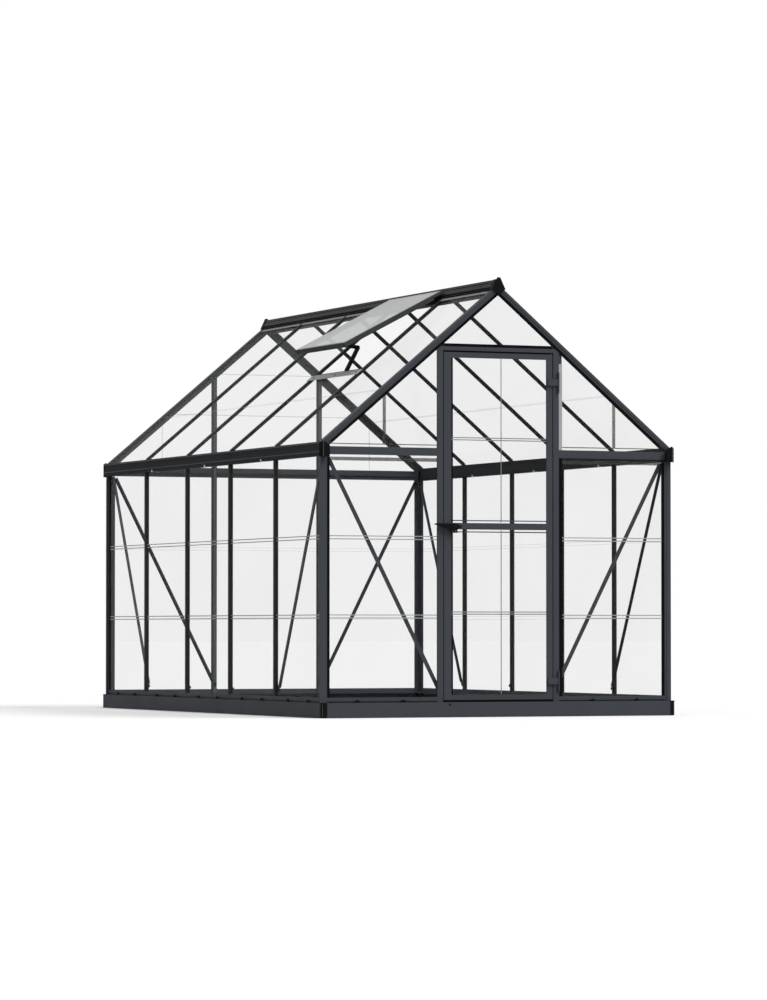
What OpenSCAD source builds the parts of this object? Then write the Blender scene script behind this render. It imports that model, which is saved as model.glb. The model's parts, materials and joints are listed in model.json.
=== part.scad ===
// Small hobby greenhouse: dark aluminium glazing bars, clear sheets, a hinged
// door in the front gable and a roof vent propped open on the left slope.
// X runs across the width, Y from the front gable to the rear one, Z up.
// The origin is on the ground, under the middle of the house.

/* [Base] */
// Outside width of the steel base
base_w = 1850; // [1600:10:2400]
// Outside length of the steel base
base_l = 3084; // [2700:2:3600]
// Height of the base
base_h = 70; // [50:1:120]
// Sheet thickness of the base channels
base_t = 2; // [1.5:0.5:3]
// Width of the base's inward flanges
base_flange = 62; // [50:1:90]
// Length of each plastic base corner along both walls
base_corner = 28; // [24:1:50]
// Chamfer on the base corner's outer edge
base_chamfer = 12; // [3:1:14]

/* [Wall frame] */
// Wall thickness of the aluminium sections
section_t = 2; // [1.5:0.5:3]
// Side posts stand this far inside the base's outer face
side_inset = 7; // [4:1:16]
// Gable frames stand this far inside the ends of the base
gable_inset = 33; // [20:1:40]
// Corner tube reach inside the glazing plane
post_tube = 14; // [13:1:24]
// Corner tube stands this far outside the side walls' glazing plane
side_step = 8.5; // [2:0.5:10]
// Corner tube stands this far outside the gables' glazing plane
gable_step = 2; // [0:0.5:6]
// Outer flange reach of corner posts and gable rafters
post_flange = 25; // [22:1:34]
// Inner lip shows this far past the outer face on corner posts and gable rafters
corner_reveal = 14; // [8:1:18]
// Bays along each side wall
bays = 5; // [3:1:6]
// Distance between neighbouring side bars
bay_pitch = 606; // [520:1:640]
// Outer face of the side bars and rafters
mullion_w = 24; // [18:1:36]
// Width of the raised middle of the side bars' outer face
mullion_nose_w = 14; // [8:1:18]
// Height of the raised middle of the side bars' outer face
mullion_nose = 7; // [2:0.5:8]
// Web of the side bars and rafters
mullion_web = 4; // [3:0.5:8]
// Depth of the glazing bars
bar_depth = 16; // [14:1:30]
// Inner lip that a sheet seats on
lip_w = 8; // [6:1:9]
// Inner lip shows this far past the face of the right door post
lip_reveal = 18; // [4:1:22]
// Height of the bottom rails above the base
rail_h = 25; // [20:1:40]
// Open groove under the bottom rail's outer face
rail_groove = 7; // [3:1:10]

/* [Front and rear] */
// Clear width between the door posts
doorway_w = 578; // [520:2:640]
// Face width of a door post
door_post_w = 30; // [26:1:44]
// Tube width of a door post
door_post_tube = 16; // [12:1:22]
// Face width of a rear post
rear_post_w = 30; // [26:1:46]
// Middle of each rear post from the centre line
rear_post_x = 305; // [260:1:360]
// Underside of the front bars at eaves height
eave_bar_z = 1238; // [1234:1:1290]
// Face height of the front bars at eaves height
eave_bar_h = 38; // [34:1:48]
// Underside of the rear bars at eaves height
rear_bar_z = 1232; // [1230:1:1290]
// Face height of the rear bars at eaves height
rear_bar_h = 51; // [34:1:56]
// Height of the flat strip behind the sheet under the front bars
strip_h = 17; // [10:1:20]
// Gap between the front bars and the strips over and under them
strip_gap = 11; // [8:1:14]
// Height of the thin strips over the front bars and beside the door's middle rail
thin_strip_h = 5; // [3:1:8]
// Upright strip in the front gable's left pane, from the middle
joint_left_x = 590; // [500:1:680]
// Upright strip in the front gable's right pane, from the middle
joint_right_x = 615; // [500:1:680]
// Upright creases in the rear gable's outer panes, from the middle
joint_rear_x = 602; // [500:1:680]
// Width of the upright strips
joint_w = 16; // [10:1:20]
// Underside of the door header, below the meeting of the door posts and the rafters' lips
header_drop = 2.5; // [0:0.5:20]
// Face height of the door header
header_h = 19; // [14:1:30]
// Width of the flat diagonal braces
brace_w = 20; // [12:1:30]
// Thickness of the flat diagonal braces
brace_t = 2; // [1.5:0.5:4]

/* [Roof] */
// Underside of the gutters
eave_z = 1230; // [1180:1:1232]
// Height of the gutters
gutter_h = 66; // [54:1:72]
// Height of the roof planes over the gutters' underside, at the side walls
roof_foot = 70; // [67:1:84]
// Height at which the two roof planes meet
apex_z = 2063; // [1980:1:2140]
// Half width of the ridge cover at its foot
ridge_half = 33; // [30:1:44]
// Half width of the ridge cover's flat top
ridge_top_half = 12; // [8:1:16]
// Height of the ridge cover's top over the line where the roof planes meet
ridge_rise = 24; // [18:1:32]
// Gutters run this far past the gables' glazing plane
gutter_overrun = 13; // [8:1:20]
// Thickness of the gutters' end caps and of the cut on their outer edge
gutter_cap_t = 15; // [10:1:20]
// Thickness of the ridge's end caps
ridge_cap_t = 6; // [4:1:10]

/* [Vent] */
// Number of bays between the front gable and the vent
bays_before_vent = 1; // [0:1:2]
// Length of the vent down the slope
vent_len = 586; // [450:2:600]
// Opening angle of the vent off the roof slope
vent_open = 12.5; // [4:0.5:25]
// The vent reaches this far past the middle of the bars beside it
vent_over = 12; // [6:1:20]
// Height of the vent's hinge over the roof plane
vent_hinge_h = 22; // [21:1:30]
// Distance of the vent's hinge from the ridge line, down the slope
vent_hinge_at = 21; // [20:1:34]
// Face width of the vent frame
vent_bar = 24; // [18:1:36]
// Depth of the vent frame
vent_depth = 14; // [12:1:22]
// Distance of the sill bar from the ridge line, down the slope
vent_sill_at = 606; // [560:1:680]
// Face width of the sill bar
vent_sill_w = 26; // [20:1:36]
// The sill bar reaches this far past the middle of the rafters beside it
vent_sill_over = 25; // [16:1:40]

/* [Sheets] */
// Thickness of the clear sheets
sheet_t = 3; // [2:0.5:4]
// Room beside a sheet in its slot
sheet_clear = 0.5; // [0.3:0.1:1]
// Room past a sheet's edge in its slot
edge_clear = 2; // [1:0.5:3]
// Width of the pressed stiffening ribs
rib_w = 12; // [8:1:20]
// Height of the pressed stiffening ribs
rib_h = 1.5; // [1:0.5:2]
// Height of the lower rib on the wall sheets
wall_rib_low = 476; // [300:1:560]
// Height of the upper rib on the wall sheets
wall_rib_high = 848; // [700:1:1000]
// Lower rib on the rear gable's sheets, as a share of the way from its bars to the apex
gable_rib_low = 0.366; // [0.2:0.002:0.45]
// Upper rib on the rear gable's middle sheet, as a share of the same way
gable_rib_high = 0.65; // [0.5:0.002:0.66]
// Rib on the roof sheets, from the middle of the house
roof_rib_x = 615; // [560:1:700]

/* [Door] */
// Room beside the door
door_gap = 5; // [5:0.5:9]
// Room over the door
door_head_gap = 8; // [6:0.5:12]
// Room under the door
door_foot_gap = 11; // [8:0.5:16]
// Face width of the latch stile
latch_stile_w = 38; // [32:1:50]
// Face width of the hinge stile
hinge_stile_w = 30; // [26:1:40]
// Height of the door's top rail
door_top_h = 26; // [20:1:40]
// Height of the door's middle rail
door_mid_h = 31; // [24:1:44]
// Middle of the door's middle rail above ground
door_mid_z = 906; // [800:1:1000]
// Height of the door's bottom rail
door_low_h = 24; // [20:1:40]
// Latch stile's inner lip shows this far past its face
stile_reveal = 9; // [4:1:14]
// Gap between the middle rail and the thin strips over and under it
mid_strip_gap = 9; // [6:1:14]
// Height of the rib on the upper pane
door_rib_high = 1322; // [1100:1:1500]
// Height of the rib on the lower pane
door_rib_low = 493; // [300:1:650]
// Hinge axis, sideways from the edge of the doorway
hinge_out = 26; // [22:1:28]
// Hinge axis, in front of the glazing plane
hinge_front = 6.5; // [6.5:0.5:12]
// Radius of the hinge knuckles
knuckle_r = 4; // [3.5:0.5:5]
// Radius of the hinge pins
pin_r = 2; // [1.5:0.25:2.25]
// Running clearance of the hinge pins and of the handle's spindle
run_clear = 0.05; // [0.02:0.01:0.1]
// Height of a whole hinge
hinge_h = 96; // [60:2:110]
// Middle of the lower hinge above ground
hinge_low_z = 168; // [150:1:400]
// Middle of the upper hinge below the door's top
hinge_high_drop = 134; // [80:1:300]
// Handle pivot, inside the latch stile's inner edge
handle_in = 15; // [10:1:24]
// Length of the handle's finger from its pivot
finger_l = 112; // [90:1:130]
// Thickness of the handle
handle_t = 9; // [6:1:14]
// Radius of the handle's hub
hub_r = 14; // [11:1:15]
// Depth of the handle's belly under its pivot, where the lock eye is
belly_h = 30; // [26:1:34]
// Radius of the lock eyes' holes
eye_r = 3.5; // [2.5:0.5:4]

/* [Hidden] */
$fn = 48;

frame_colour = "#47474b";
sheet_colour = "#e6eaeb";
plastic_colour = "#1c1c1c";

// Planes that the outer flanges lie in: side walls, gables
wall_x = base_w / 2 - side_inset - side_step;
wall_y = base_l / 2 - gable_inset - gable_step;
// Pitch of both roof slopes
roof_pitch = atan((apex_z - eave_z - roof_foot) / wall_x);
// Depths under those planes: the slot, and the face that a sheet seats on
slot = sheet_t + sheet_clear;
seat = section_t + slot;
lip_back = seat + section_t;
// Reach of the inner lip on corner posts and gable rafters
corner_reach = post_flange + corner_reveal;
// Heights of the bottom rails, of the header and of its lip
rail_top = base_h + rail_h;
rail_slot_z = base_h + rail_groove + section_t;
door_post_out = doorway_w / 2 + door_post_w;
header_z = roof_z(door_post_out, corner_reach) - header_drop;
header_lip = 14;
// Gutter: outer face and inner wall, outwards and inwards from the wall plane
gutter_out = 20;
gutter_in = 20;
gutter_wall_x = wall_x - gutter_in;
// Where rafters and roof sheets end over the gutter's trough, and at the ridge
rafter_gap = 2;
rafter_end_x = wall_x - rafter_gap;
gable_rafter_end_x = wall_x + rafter_gap;
sheet_over = 6;
sheet_end_x = wall_x + sheet_over;
sheet_top_x = 8;
ridge_web = 4;
ridge_top = apex_z + ridge_rise;
// Foot of the ridge cover, just clear of the roof planes
ridge_foot_gap = 4;
// Door: sides, top and bottom; faces of the posts of both gables
door_r = doorway_w / 2 - door_gap;
door_bottom = base_h + door_foot_gap;
door_top = header_z - door_head_gap;
door_depth = bar_depth;
rear_face_in = rear_post_x - rear_post_w / 2;
rear_face_out = rear_post_x + rear_post_w / 2;
hinge_x = doorway_w / 2 + hinge_out;
hinge_y = -wall_y - hinge_front;
hinge_high_z = door_top - hinge_high_drop;
knuckle_gap = 0.5;
leaf_t = 2;
handle_x = -door_r + latch_stile_w + handle_in;
handle_drop = 2;
handle_z = door_mid_z - handle_drop;
handle_gap = 0.5;
spindle_r = 4;
boss_r = 13;
boss_t = 8;
far = 4000;
// Cutting shapes reach this far past what they cut
cut = 1;

function roof_z(x, depth) = apex_z - abs(x) * tan(roof_pitch) - depth / cos(roof_pitch);
function bar_y(i) = (i - (bays - 2) / 2) * bay_pitch;
// Edges of bay i along a side wall, at the webs and at the corner tubes
function bay_lo(i) = i == 0 ? -wall_y + post_tube : bar_y(i - 1) + mullion_web / 2;
function bay_hi(i) = i == bays - 1 ? wall_y - post_tube : bar_y(i) - mullion_web / 2;
// Ends of the ribs in bay i, clear of the flanges beside it
function rib_lo(i) = bay_lo(i) + edge_clear + (i == 0 ? post_flange - post_tube : flange_over);
function rib_hi(i) = bay_hi(i) - edge_clear - (i == bays - 1 ? post_flange - post_tube : flange_over);
flange_over = (mullion_w - mullion_web) / 2;
// Edge of a sheet in the slot under or over a bar at eaves height
function bar_slot(z, h, side) = z + h / 2 + side * (1.5 * section_t + edge_clear);

// Wall frames: local x runs along the wall, y is the depth into the house, z is up
module front_wall() { translate([0, -wall_y, 0]) children(); }
module rear_wall() { rotate([0, 0, 180]) translate([0, -wall_y, 0]) children(); }
module left_wall() { rotate([0, 0, -90]) translate([0, -wall_x, 0]) children(); }
module right_wall() { rotate([0, 0, 90]) translate([0, -wall_x, 0]) children(); }

// Roof frames: local x runs along the ridge, y is the depth under the roof plane,
// z climbs the slope and is 0 where the planes meet
module slope() { translate([0, 0, apex_z]) rotate([roof_pitch - 90, 0, 0]) children(); }
module left_slope() { rotate([0, 0, -90]) slope() children(); }
module right_slope() { rotate([0, 0, 90]) slope() children(); }
// Place down the slope that is x away from the middle of the house
function down(x) = -x / cos(roof_pitch);

// A drawing in depth and height, drawn out along the wall from x0 to x1
module along_wall(x0, x1) {
    translate([x0, 0, 0]) rotate([90, 0, 90]) linear_extrude(x1 - x0) children();
}
// A drawing in length and height, given a thickness from depth y0 to y1
module flat_on_wall(y0, y1) {
    translate([0, y1, 0]) rotate([90, 0, 0]) linear_extrude(y1 - y0) children();
}
module upright(z0, z1) { translate([0, 0, z0]) linear_extrude(z1 - z0) children(); }
module both_ends() { children(); mirror([1, 0, 0]) children(); }
// The right side of the front wall as it is drawn, or its left side
module front_side(right) { front_wall() mirror([1 - right, 0, 0]) children(); }
// One piece at the front left corner, repeated at all four
module at_corners() { for (turn = [0, 180]) rotate([0, 0, turn]) both_ends() children(); }

// The part of a gable that lies deeper than this under both roof planes
module below_roof(depth) {
    flat_on_wall(-far, far) polygon([
        [-far, roof_z(far, depth)], [0, roof_z(0, depth)], [far, roof_z(far, depth)], [0, -far * 4]
    ]);
}

// Sections of the aluminium bars, as length along the wall and depth
module core_2d(w, depth) {
    difference() {
        translate([-w / 2, section_t]) square([w, depth - section_t]);
        if (w > 3 * section_t)
            translate([-w / 2 + section_t, lip_back])
                square([w - 2 * section_t, depth - lip_back - section_t]);
    }
}
module lip_2d(from, to) { translate([from, seat]) square([to - from, section_t]); }
module mullion_core_2d() {
    core_2d(mullion_web, bar_depth);
    lip_2d(-mullion_web / 2 - lip_w, mullion_web / 2 + lip_w);
}
module face_2d(w) { translate([-w / 2, 0]) square([w, section_t]); }

// Corner section: a square tube with a flange and a lip on each of its two walls.
// The tube stands out of the two glazing planes by the given steps.
module corner_2d(steps) {
    outer = [post_tube, post_tube] + steps;
    wall = [section_t, section_t];
    difference() {
        translate(-steps) square(outer);
        translate(wall - steps) square(outer - 2 * wall);
    }
    for (swap = [0, 1]) mirror([swap, -swap, 0]) {
        translate([post_tube, 0]) square([post_flange - post_tube, section_t]);
        lip_2d(post_tube, corner_reach);
    }
}

// Base channel with inward flanges at the ground and at the top. The flanges of
// the front and rear runs stop where the side runs' flanges begin.
module base_run(face_l, flange_l) {
    color(frame_colour) {
        along_wall(-face_l / 2, face_l / 2) square([base_t, base_h]);
        along_wall(-flange_l / 2, flange_l / 2) for (z = [0, base_h - base_t])
            translate([0, z]) square([base_flange, base_t]);
    }
}
module base_front() {
    translate([0, -base_l / 2, 0]) base_run(base_w - 2 * base_corner, base_w - 2 * base_flange);
}
module base_rear() { rotate([0, 0, 180]) base_front(); }
module base_left() {
    side_l = base_l - 2 * base_corner;
    rotate([0, 0, -90]) translate([0, -base_w / 2, 0]) base_run(side_l, side_l);
}
module base_right() { rotate([0, 0, 180]) base_left(); }

// Hollow plastic corner, open underneath, with its outer edge cut off
module corner_outline(inset) {
    polygon([
        [base_chamfer + inset / 2, inset], [base_corner, inset], [base_corner, base_corner],
        [inset, base_corner], [inset, base_chamfer + inset / 2]
    ]);
}
module base_corners() {
    wall = 2 * base_t;
    color(plastic_colour) at_corners() translate([-base_w / 2, -base_l / 2, 0]) difference() {
        upright(0, base_h) corner_outline(0);
        upright(-cut, base_h - wall) intersection() {
            corner_outline(wall);
            square(base_corner - wall);
        }
    }
}

module corner_posts() {
    color(frame_colour) at_corners() translate([-wall_x, -wall_y, 0])
        upright(base_h, eave_z) corner_2d([side_step, gable_step]);
}

// Side bars stand on the bottom rail and reach the gutter
module mullions() {
    color(frame_colour) for (i = [0:bays - 2]) translate([bar_y(i), 0, 0]) {
        upright(rail_top, eave_z) {
            face_2d(mullion_w);
            translate([-mullion_nose_w / 2, -mullion_nose]) square([mullion_nose_w, mullion_nose]);
            mullion_core_2d();
        }
    }
}
module left_mullions() { left_wall() mullions(); }
module right_mullions() { right_wall() mullions(); }

// A gable post: its face runs up to the rafter's face, its core up to the rafter's lip
module gable_post(top) {
    intersection() {
        upright(base_h, top) children(0);
        below_roof(post_flange);
    }
    intersection() {
        upright(base_h, top) children(1);
        below_roof(corner_reach);
    }
}
// Door posts end under the header. Only the right one shows its lip.
module door_posts() {
    color(frame_colour) for (right = [0, 1]) front_side(right) gable_post(header_z) {
        translate([doorway_w / 2 + door_post_w / 2, 0]) face_2d(door_post_w);
        union() {
            translate([doorway_w / 2 + door_post_tube / 2, 0]) core_2d(door_post_tube, bar_depth);
            lip_2d(doorway_w / 2 + door_post_tube, door_post_out + right * lip_reveal);
        }
    }
}
module rear_posts() {
    color(frame_colour) rear_wall() both_ends() gable_post(apex_z) {
        translate([rear_post_x, 0]) face_2d(rear_post_w);
        translate([rear_post_x, 0]) {
            core_2d(door_post_tube, bar_depth);
            lip_2d(-rear_post_w / 2, rear_post_w / 2);
        }
    }
}

// Bottom rail: a foot on the base, a slot for the sheets and a face over a groove
module rail_face_2d() {
    translate([0, base_h + rail_groove]) square([section_t, rail_h - rail_groove]);
}
module rail_core_2d() {
    translate([section_t, base_h + rail_groove]) square([slot, section_t]);
    translate([seat, base_h]) square([section_t, rail_h]);
    translate([seat, base_h]) square([bar_depth - seat, section_t]);
}
module rail_run(x0, x1, short0, short1) {
    along_wall(x0, x1) rail_face_2d();
    along_wall(x0 + short0, x1 - short1) rail_core_2d();
}
module bottom_rails() {
    side_end = wall_y - post_flange;
    gable_end = wall_x - post_flange;
    color(frame_colour) {
        left_wall() rail_run(-side_end, side_end, corner_reveal, corner_reveal);
        right_wall() rail_run(-side_end, side_end, corner_reveal, corner_reveal);
        for (right = [0, 1]) front_side(right)
            rail_run(door_post_out, gable_end, right * lip_reveal, corner_reveal);
        rear_wall() both_ends() rail_run(rear_face_out, gable_end, 0, corner_reveal);
        rear_wall() rail_run(-rear_face_in, rear_face_in, 0, 0);
    }
}

// Bars at eaves height: slots above and below, cut to the rafters at their outer ends
module eave_bar(z, h, x0, x1, short) {
    web_h = 3 * section_t;
    intersection() {
        along_wall(x0, x1) translate([0, z]) square([section_t, h]);
        below_roof(post_flange);
    }
    intersection() {
        along_wall(x0 + short, x1) {
            translate([section_t, z + (h - web_h) / 2]) square([bar_depth - section_t, web_h]);
            translate([seat, z]) square([section_t, h]);
        }
        below_roof(corner_reach);
    }
}
module front_eave_bars() {
    color(frame_colour) for (right = [0, 1]) front_side(right)
        eave_bar(eave_bar_z, eave_bar_h, door_post_out, gutter_wall_x, right * lip_reveal);
}
module rear_eave_bars() {
    color(frame_colour) rear_wall() {
        both_ends() eave_bar(rear_bar_z, rear_bar_h, rear_face_out, gutter_wall_x, 0);
        eave_bar(rear_bar_z, rear_bar_h, -rear_face_in, rear_face_in, 0);
    }
}

// Flat strips behind the front gable's sheets: along its bars, and upright in its outer panes
module strip_on_wall() { flat_on_wall(seat, lip_back) children(); }
module upright_strip_2d(x, z0) { translate([x - joint_w / 2, z0]) square([joint_w, apex_z - z0]); }
module glazing_strips() {
    low_z = eave_bar_z - strip_gap - strip_h;
    thin_z = eave_bar_z + eave_bar_h + strip_gap;
    color(frame_colour) for (right = [0, 1]) front_side(right) {
        x0 = door_post_out + right * lip_reveal;
        strip_on_wall() translate([x0, low_z]) square([wall_x - corner_reach - x0, strip_h]);
        intersection() {
            strip_on_wall() {
                translate([x0, thin_z]) square([wall_x - x0, thin_strip_h]);
                upright_strip_2d(right ? joint_right_x : joint_left_x, thin_z);
            }
            below_roof(corner_reach);
        }
    }
}

// Header: runs over the door posts' tops from rafter to rafter, with a stop behind the door
stop_gap = 6;
stop_drop = 20;
module door_header() {
    stop_y = door_depth + stop_gap;
    color(frame_colour) front_wall() {
        intersection() {
            along_wall(-wall_x, wall_x) {
                translate([0, header_z]) square([section_t, header_h]);
                translate([section_t, header_z]) square([bar_depth - section_t, header_h / 2]);
                translate([seat, header_z]) square([section_t, header_h + header_lip]);
            }
            below_roof(corner_reach);
        }
        along_wall(-doorway_w / 2, doorway_w / 2) {
            translate([section_t, header_z]) square([stop_y, header_h / 2]);
            translate([stop_y, header_z - stop_drop]) square([section_t, stop_drop + header_h / 2]);
        }
    }
}

// Gutter section: depth runs inwards from the side wall's glazing plane. The outer face
// turns under at its foot, swells in its lower half and ends in a lip over a hollow.
gutter_foot = 0.75;
function gutter_pt(out, up, back) = [back - out * gutter_out, eave_z + up * gutter_h];
module gutter_trough_2d() {
    t = section_t;
    foot = gutter_foot * gutter_out;
    translate([-foot, eave_z]) square([foot + gutter_in, t]);
    polygon([
        gutter_pt(gutter_foot, 0, 0), gutter_pt(1, 0.15, 0), gutter_pt(1, 0.33, 0),
        gutter_pt(0.8, 0.56, 0), gutter_pt(0.87, 0.82, 0), gutter_pt(1, 0.85, 0),
        gutter_pt(1, 0.96, 0), gutter_pt(0.9, 1, 0),
        gutter_pt(0.9, 1, t), gutter_pt(1, 0.96, t), gutter_pt(1, 0.85, t), gutter_pt(0.87, 0.82, t),
        gutter_pt(0.8, 0.56, t), gutter_pt(1, 0.33, t), gutter_pt(1, 0.15, t),
        gutter_pt(gutter_foot, 0, t)
    ]);
}
// Inner wall with the rafters' seat, between the gables
seat_w = 16;
module gutter_seat_2d() {
    function seat_pt(y, depth) = [y, roof_z(wall_x - y, depth)];
    low = bar_depth + section_t;
    polygon([
        seat_pt(gutter_in - seat_w, bar_depth), seat_pt(gutter_in, bar_depth),
        seat_pt(gutter_in, low), seat_pt(gutter_in - seat_w, low)
    ]);
    translate([gutter_in - section_t, eave_z])
        square([section_t, roof_z(gutter_wall_x, low) - eave_z]);
}
module gutter() {
    long = wall_y + gutter_overrun;
    inner = wall_y - corner_reach;
    color(frame_colour) {
        along_wall(-long, long) gutter_trough_2d();
        along_wall(-inner, inner) gutter_seat_2d();
    }
}
module left_gutter() { left_wall() gutter(); }
module right_gutter() { right_wall() gutter(); }

// Plastic blocks with a peaked top and a cut outer edge that close the gutters' ends
cap_in = 28;
cap_foot = 4;
cap_peak = 6;
cap_drop_out = 14;
cap_drop_in = 22;
module gutter_caps() {
    outer = wall_x + gutter_out;
    inner = wall_x - cap_in;
    peak_x = outer - gutter_cap_t;
    peak_z = eave_z + gutter_h + cap_peak;
    foot_z = eave_z - cap_foot;
    color(plastic_colour) at_corners() translate([0, -wall_y - gutter_overrun, 0]) intersection() {
        flat_on_wall(-gutter_cap_t, 0) polygon([
            [-inner, foot_z], [-outer, foot_z], [-outer, peak_z - cap_drop_out],
            [-peak_x, peak_z], [-inner, peak_z - cap_drop_in]
        ]);
        upright(0, far) polygon([
            [-inner, 0], [-outer, 0], [-peak_x, -gutter_cap_t], [-inner, -gutter_cap_t]
        ]);
    }
}

// Ridge: a steep-sided cover over the slopes' top edges, and a web with lower wings
ridge_foot_z = roof_z(ridge_half, -ridge_foot_gap);
// Run across the cover's steep sides for each unit of their thickness
ridge_side_run = 1.2;
module ridge_shell_2d(inset) {
    foot = ridge_half - ridge_side_run * inset;
    top = ridge_top_half - inset / 2;
    polygon([
        [-foot, ridge_foot_z], [-top, ridge_top - inset], [top, ridge_top - inset], [foot, ridge_foot_z]
    ]);
}
module ridge_cover_2d() {
    difference() {
        ridge_shell_2d(0);
        ridge_shell_2d(section_t);
    }
    translate([-ridge_web / 2, roof_z(0, 0)]) square([ridge_web, ridge_rise - section_t / 2]);
}
ridge_core_reach = 30;
module ridge_core_2d() {
    reach = ridge_core_reach;
    low = bar_depth + section_t;
    translate([-ridge_web / 2, roof_z(0, low)]) square([ridge_web, roof_z(0, 0) - roof_z(0, low)]);
    polygon([
        [0, roof_z(0, bar_depth)], [reach, roof_z(reach, bar_depth)], [reach, roof_z(reach, low)],
        [0, roof_z(0, low)], [-reach, roof_z(reach, low)], [-reach, roof_z(reach, bar_depth)]
    ]);
}
module ridge_beam() {
    long = 2 * (wall_y + gable_step);
    short = 2 * (wall_y - corner_reach);
    color(frame_colour) rotate([90, 0, 0]) {
        linear_extrude(long, center = true) ridge_cover_2d();
        linear_extrude(short, center = true) ridge_core_2d();
    }
}
// Caps: a narrow top, widest at the cover's foot, a blunt point below
ridge_cap_over = 10;
ridge_cap_top_half = 7;
ridge_cap_point = 28;
module ridge_caps() {
    wide = ridge_half + section_t / 2;
    color(plastic_colour) for (turn = [0, 180]) rotate([0, 0, turn])
        translate([0, -wall_y - gable_step, 0]) flat_on_wall(-ridge_cap_t, 0) polygon([
            [-ridge_cap_top_half, ridge_top + ridge_cap_over],
            [ridge_cap_top_half, ridge_top + ridge_cap_over],
            [wide, ridge_foot_z], [0, ridge_foot_z - ridge_cap_point], [-wide, ridge_foot_z]
        ]);
}

// Rafters: drawn up a slope, then cut upright where they meet the ridge's web. Those on
// the gables have the corner posts' section and a square end at the gutter's cap.
module gable_rafter() {
    length = gable_rafter_end_x / cos(roof_pitch);
    translate([-wall_y, 0, -length]) linear_extrude(length + bar_depth) corner_2d([gable_step, 0]);
}
module rafter(y) {
    length = (wall_x + bar_depth) / cos(roof_pitch);
    translate([y, 0, -length]) linear_extrude(length + bar_depth) {
        face_2d(mullion_w);
        mullion_core_2d();
    }
}
// Keep the stretch of a left slope's bars between x0 and x1 from the middle
module keep_left(x0, x1) {
    intersection() {
        children();
        translate([-x1, -far, 0]) cube([x1 - x0, 2 * far, far]);
    }
}
module gable_rafter_pair() {
    color(frame_colour) both_ends()
        keep_left(ridge_web / 2, far) rotate([0, 0, -90]) slope() mirror([1, 0, 0]) gable_rafter();
}
module front_gable_rafters() { gable_rafter_pair(); }
module rear_gable_rafters() { rotate([0, 0, 180]) gable_rafter_pair(); }
module left_rafters() {
    color(frame_colour) keep_left(ridge_web / 2, rafter_end_x)
        for (i = [0:bays - 2]) left_slope() rafter(bar_y(i));
}
module right_rafters() { rotate([0, 0, 180]) left_rafters(); }

// Sheets seat on the inner lips, with room in front of them and round their edges
module plain_sheet_2d(x0, x1, z0, z1) {
    translate([x0 + edge_clear, z0]) square([x1 - x0 - 2 * edge_clear, z1 - z0]);
}
module sheet_on_wall() { flat_on_wall(seat - sheet_t, seat) children(); }
module rib_2d(z) {
    polygon([
        [seat - sheet_t, z - rib_w / 2], [seat - sheet_t, z + rib_w / 2],
        [seat - sheet_t - rib_h, z + rib_w / 4], [seat - sheet_t - rib_h, z - rib_w / 4]
    ]);
}
// Upright fold, in the middle of a door pane or in a rear gable pane
module crease_2d(x) {
    translate([x - rib_w / 4, seat - sheet_t - rib_h / 2]) square([rib_w / 2, rib_h / 2]);
}
// Wall sheet with two pressed ribs that stop clear of the flanges beside it
module wall_sheet(x0, x1, rib0, rib1, top) {
    sheet_on_wall() plain_sheet_2d(x0, x1, rail_slot_z, top);
    for (z = [wall_rib_low, wall_rib_high]) along_wall(rib0, rib1) rib_2d(z);
}
// Room for the gutters at the upper outer corners of the gables' sheets
module clear_of_gutters() {
    difference() {
        children();
        both_ends() translate([gutter_wall_x - edge_clear, -far, eave_z - edge_clear])
            cube([far, 2 * far, gutter_h]);
    }
}
module side_sheets() {
    color(sheet_colour, 0.3) for (i = [0:bays - 1])
        wall_sheet(bay_lo(i), bay_hi(i), rib_lo(i), rib_hi(i), eave_z - edge_clear);
}
module left_wall_sheets() { left_wall() side_sheets(); }
module right_wall_sheets() { right_wall() side_sheets(); }

post_edge = wall_x - post_tube;
post_rib = wall_x - post_flange - edge_clear;
door_post_edge = doorway_w / 2 + door_post_tube;
rear_edge_in = rear_post_x - door_post_tube / 2;
rear_edge_out = rear_post_x + door_post_tube / 2;
rear_rib_in = rear_face_in - edge_clear;
rear_rib_out = rear_face_out + edge_clear;

module front_wall_sheets() {
    color(sheet_colour, 0.3) front_wall() clear_of_gutters() both_ends()
        wall_sheet(door_post_edge, post_edge, door_post_out + edge_clear, post_rib,
            bar_slot(eave_bar_z, eave_bar_h, -1));
}
module rear_wall_sheets() {
    top = bar_slot(rear_bar_z, rear_bar_h, -1);
    color(sheet_colour, 0.3) rear_wall() clear_of_gutters() {
        both_ends() wall_sheet(rear_edge_out, post_edge, rear_rib_out, post_rib, top);
        wall_sheet(-rear_edge_in, rear_edge_in, -rear_rib_in, rear_rib_in, top);
    }
}

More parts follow.
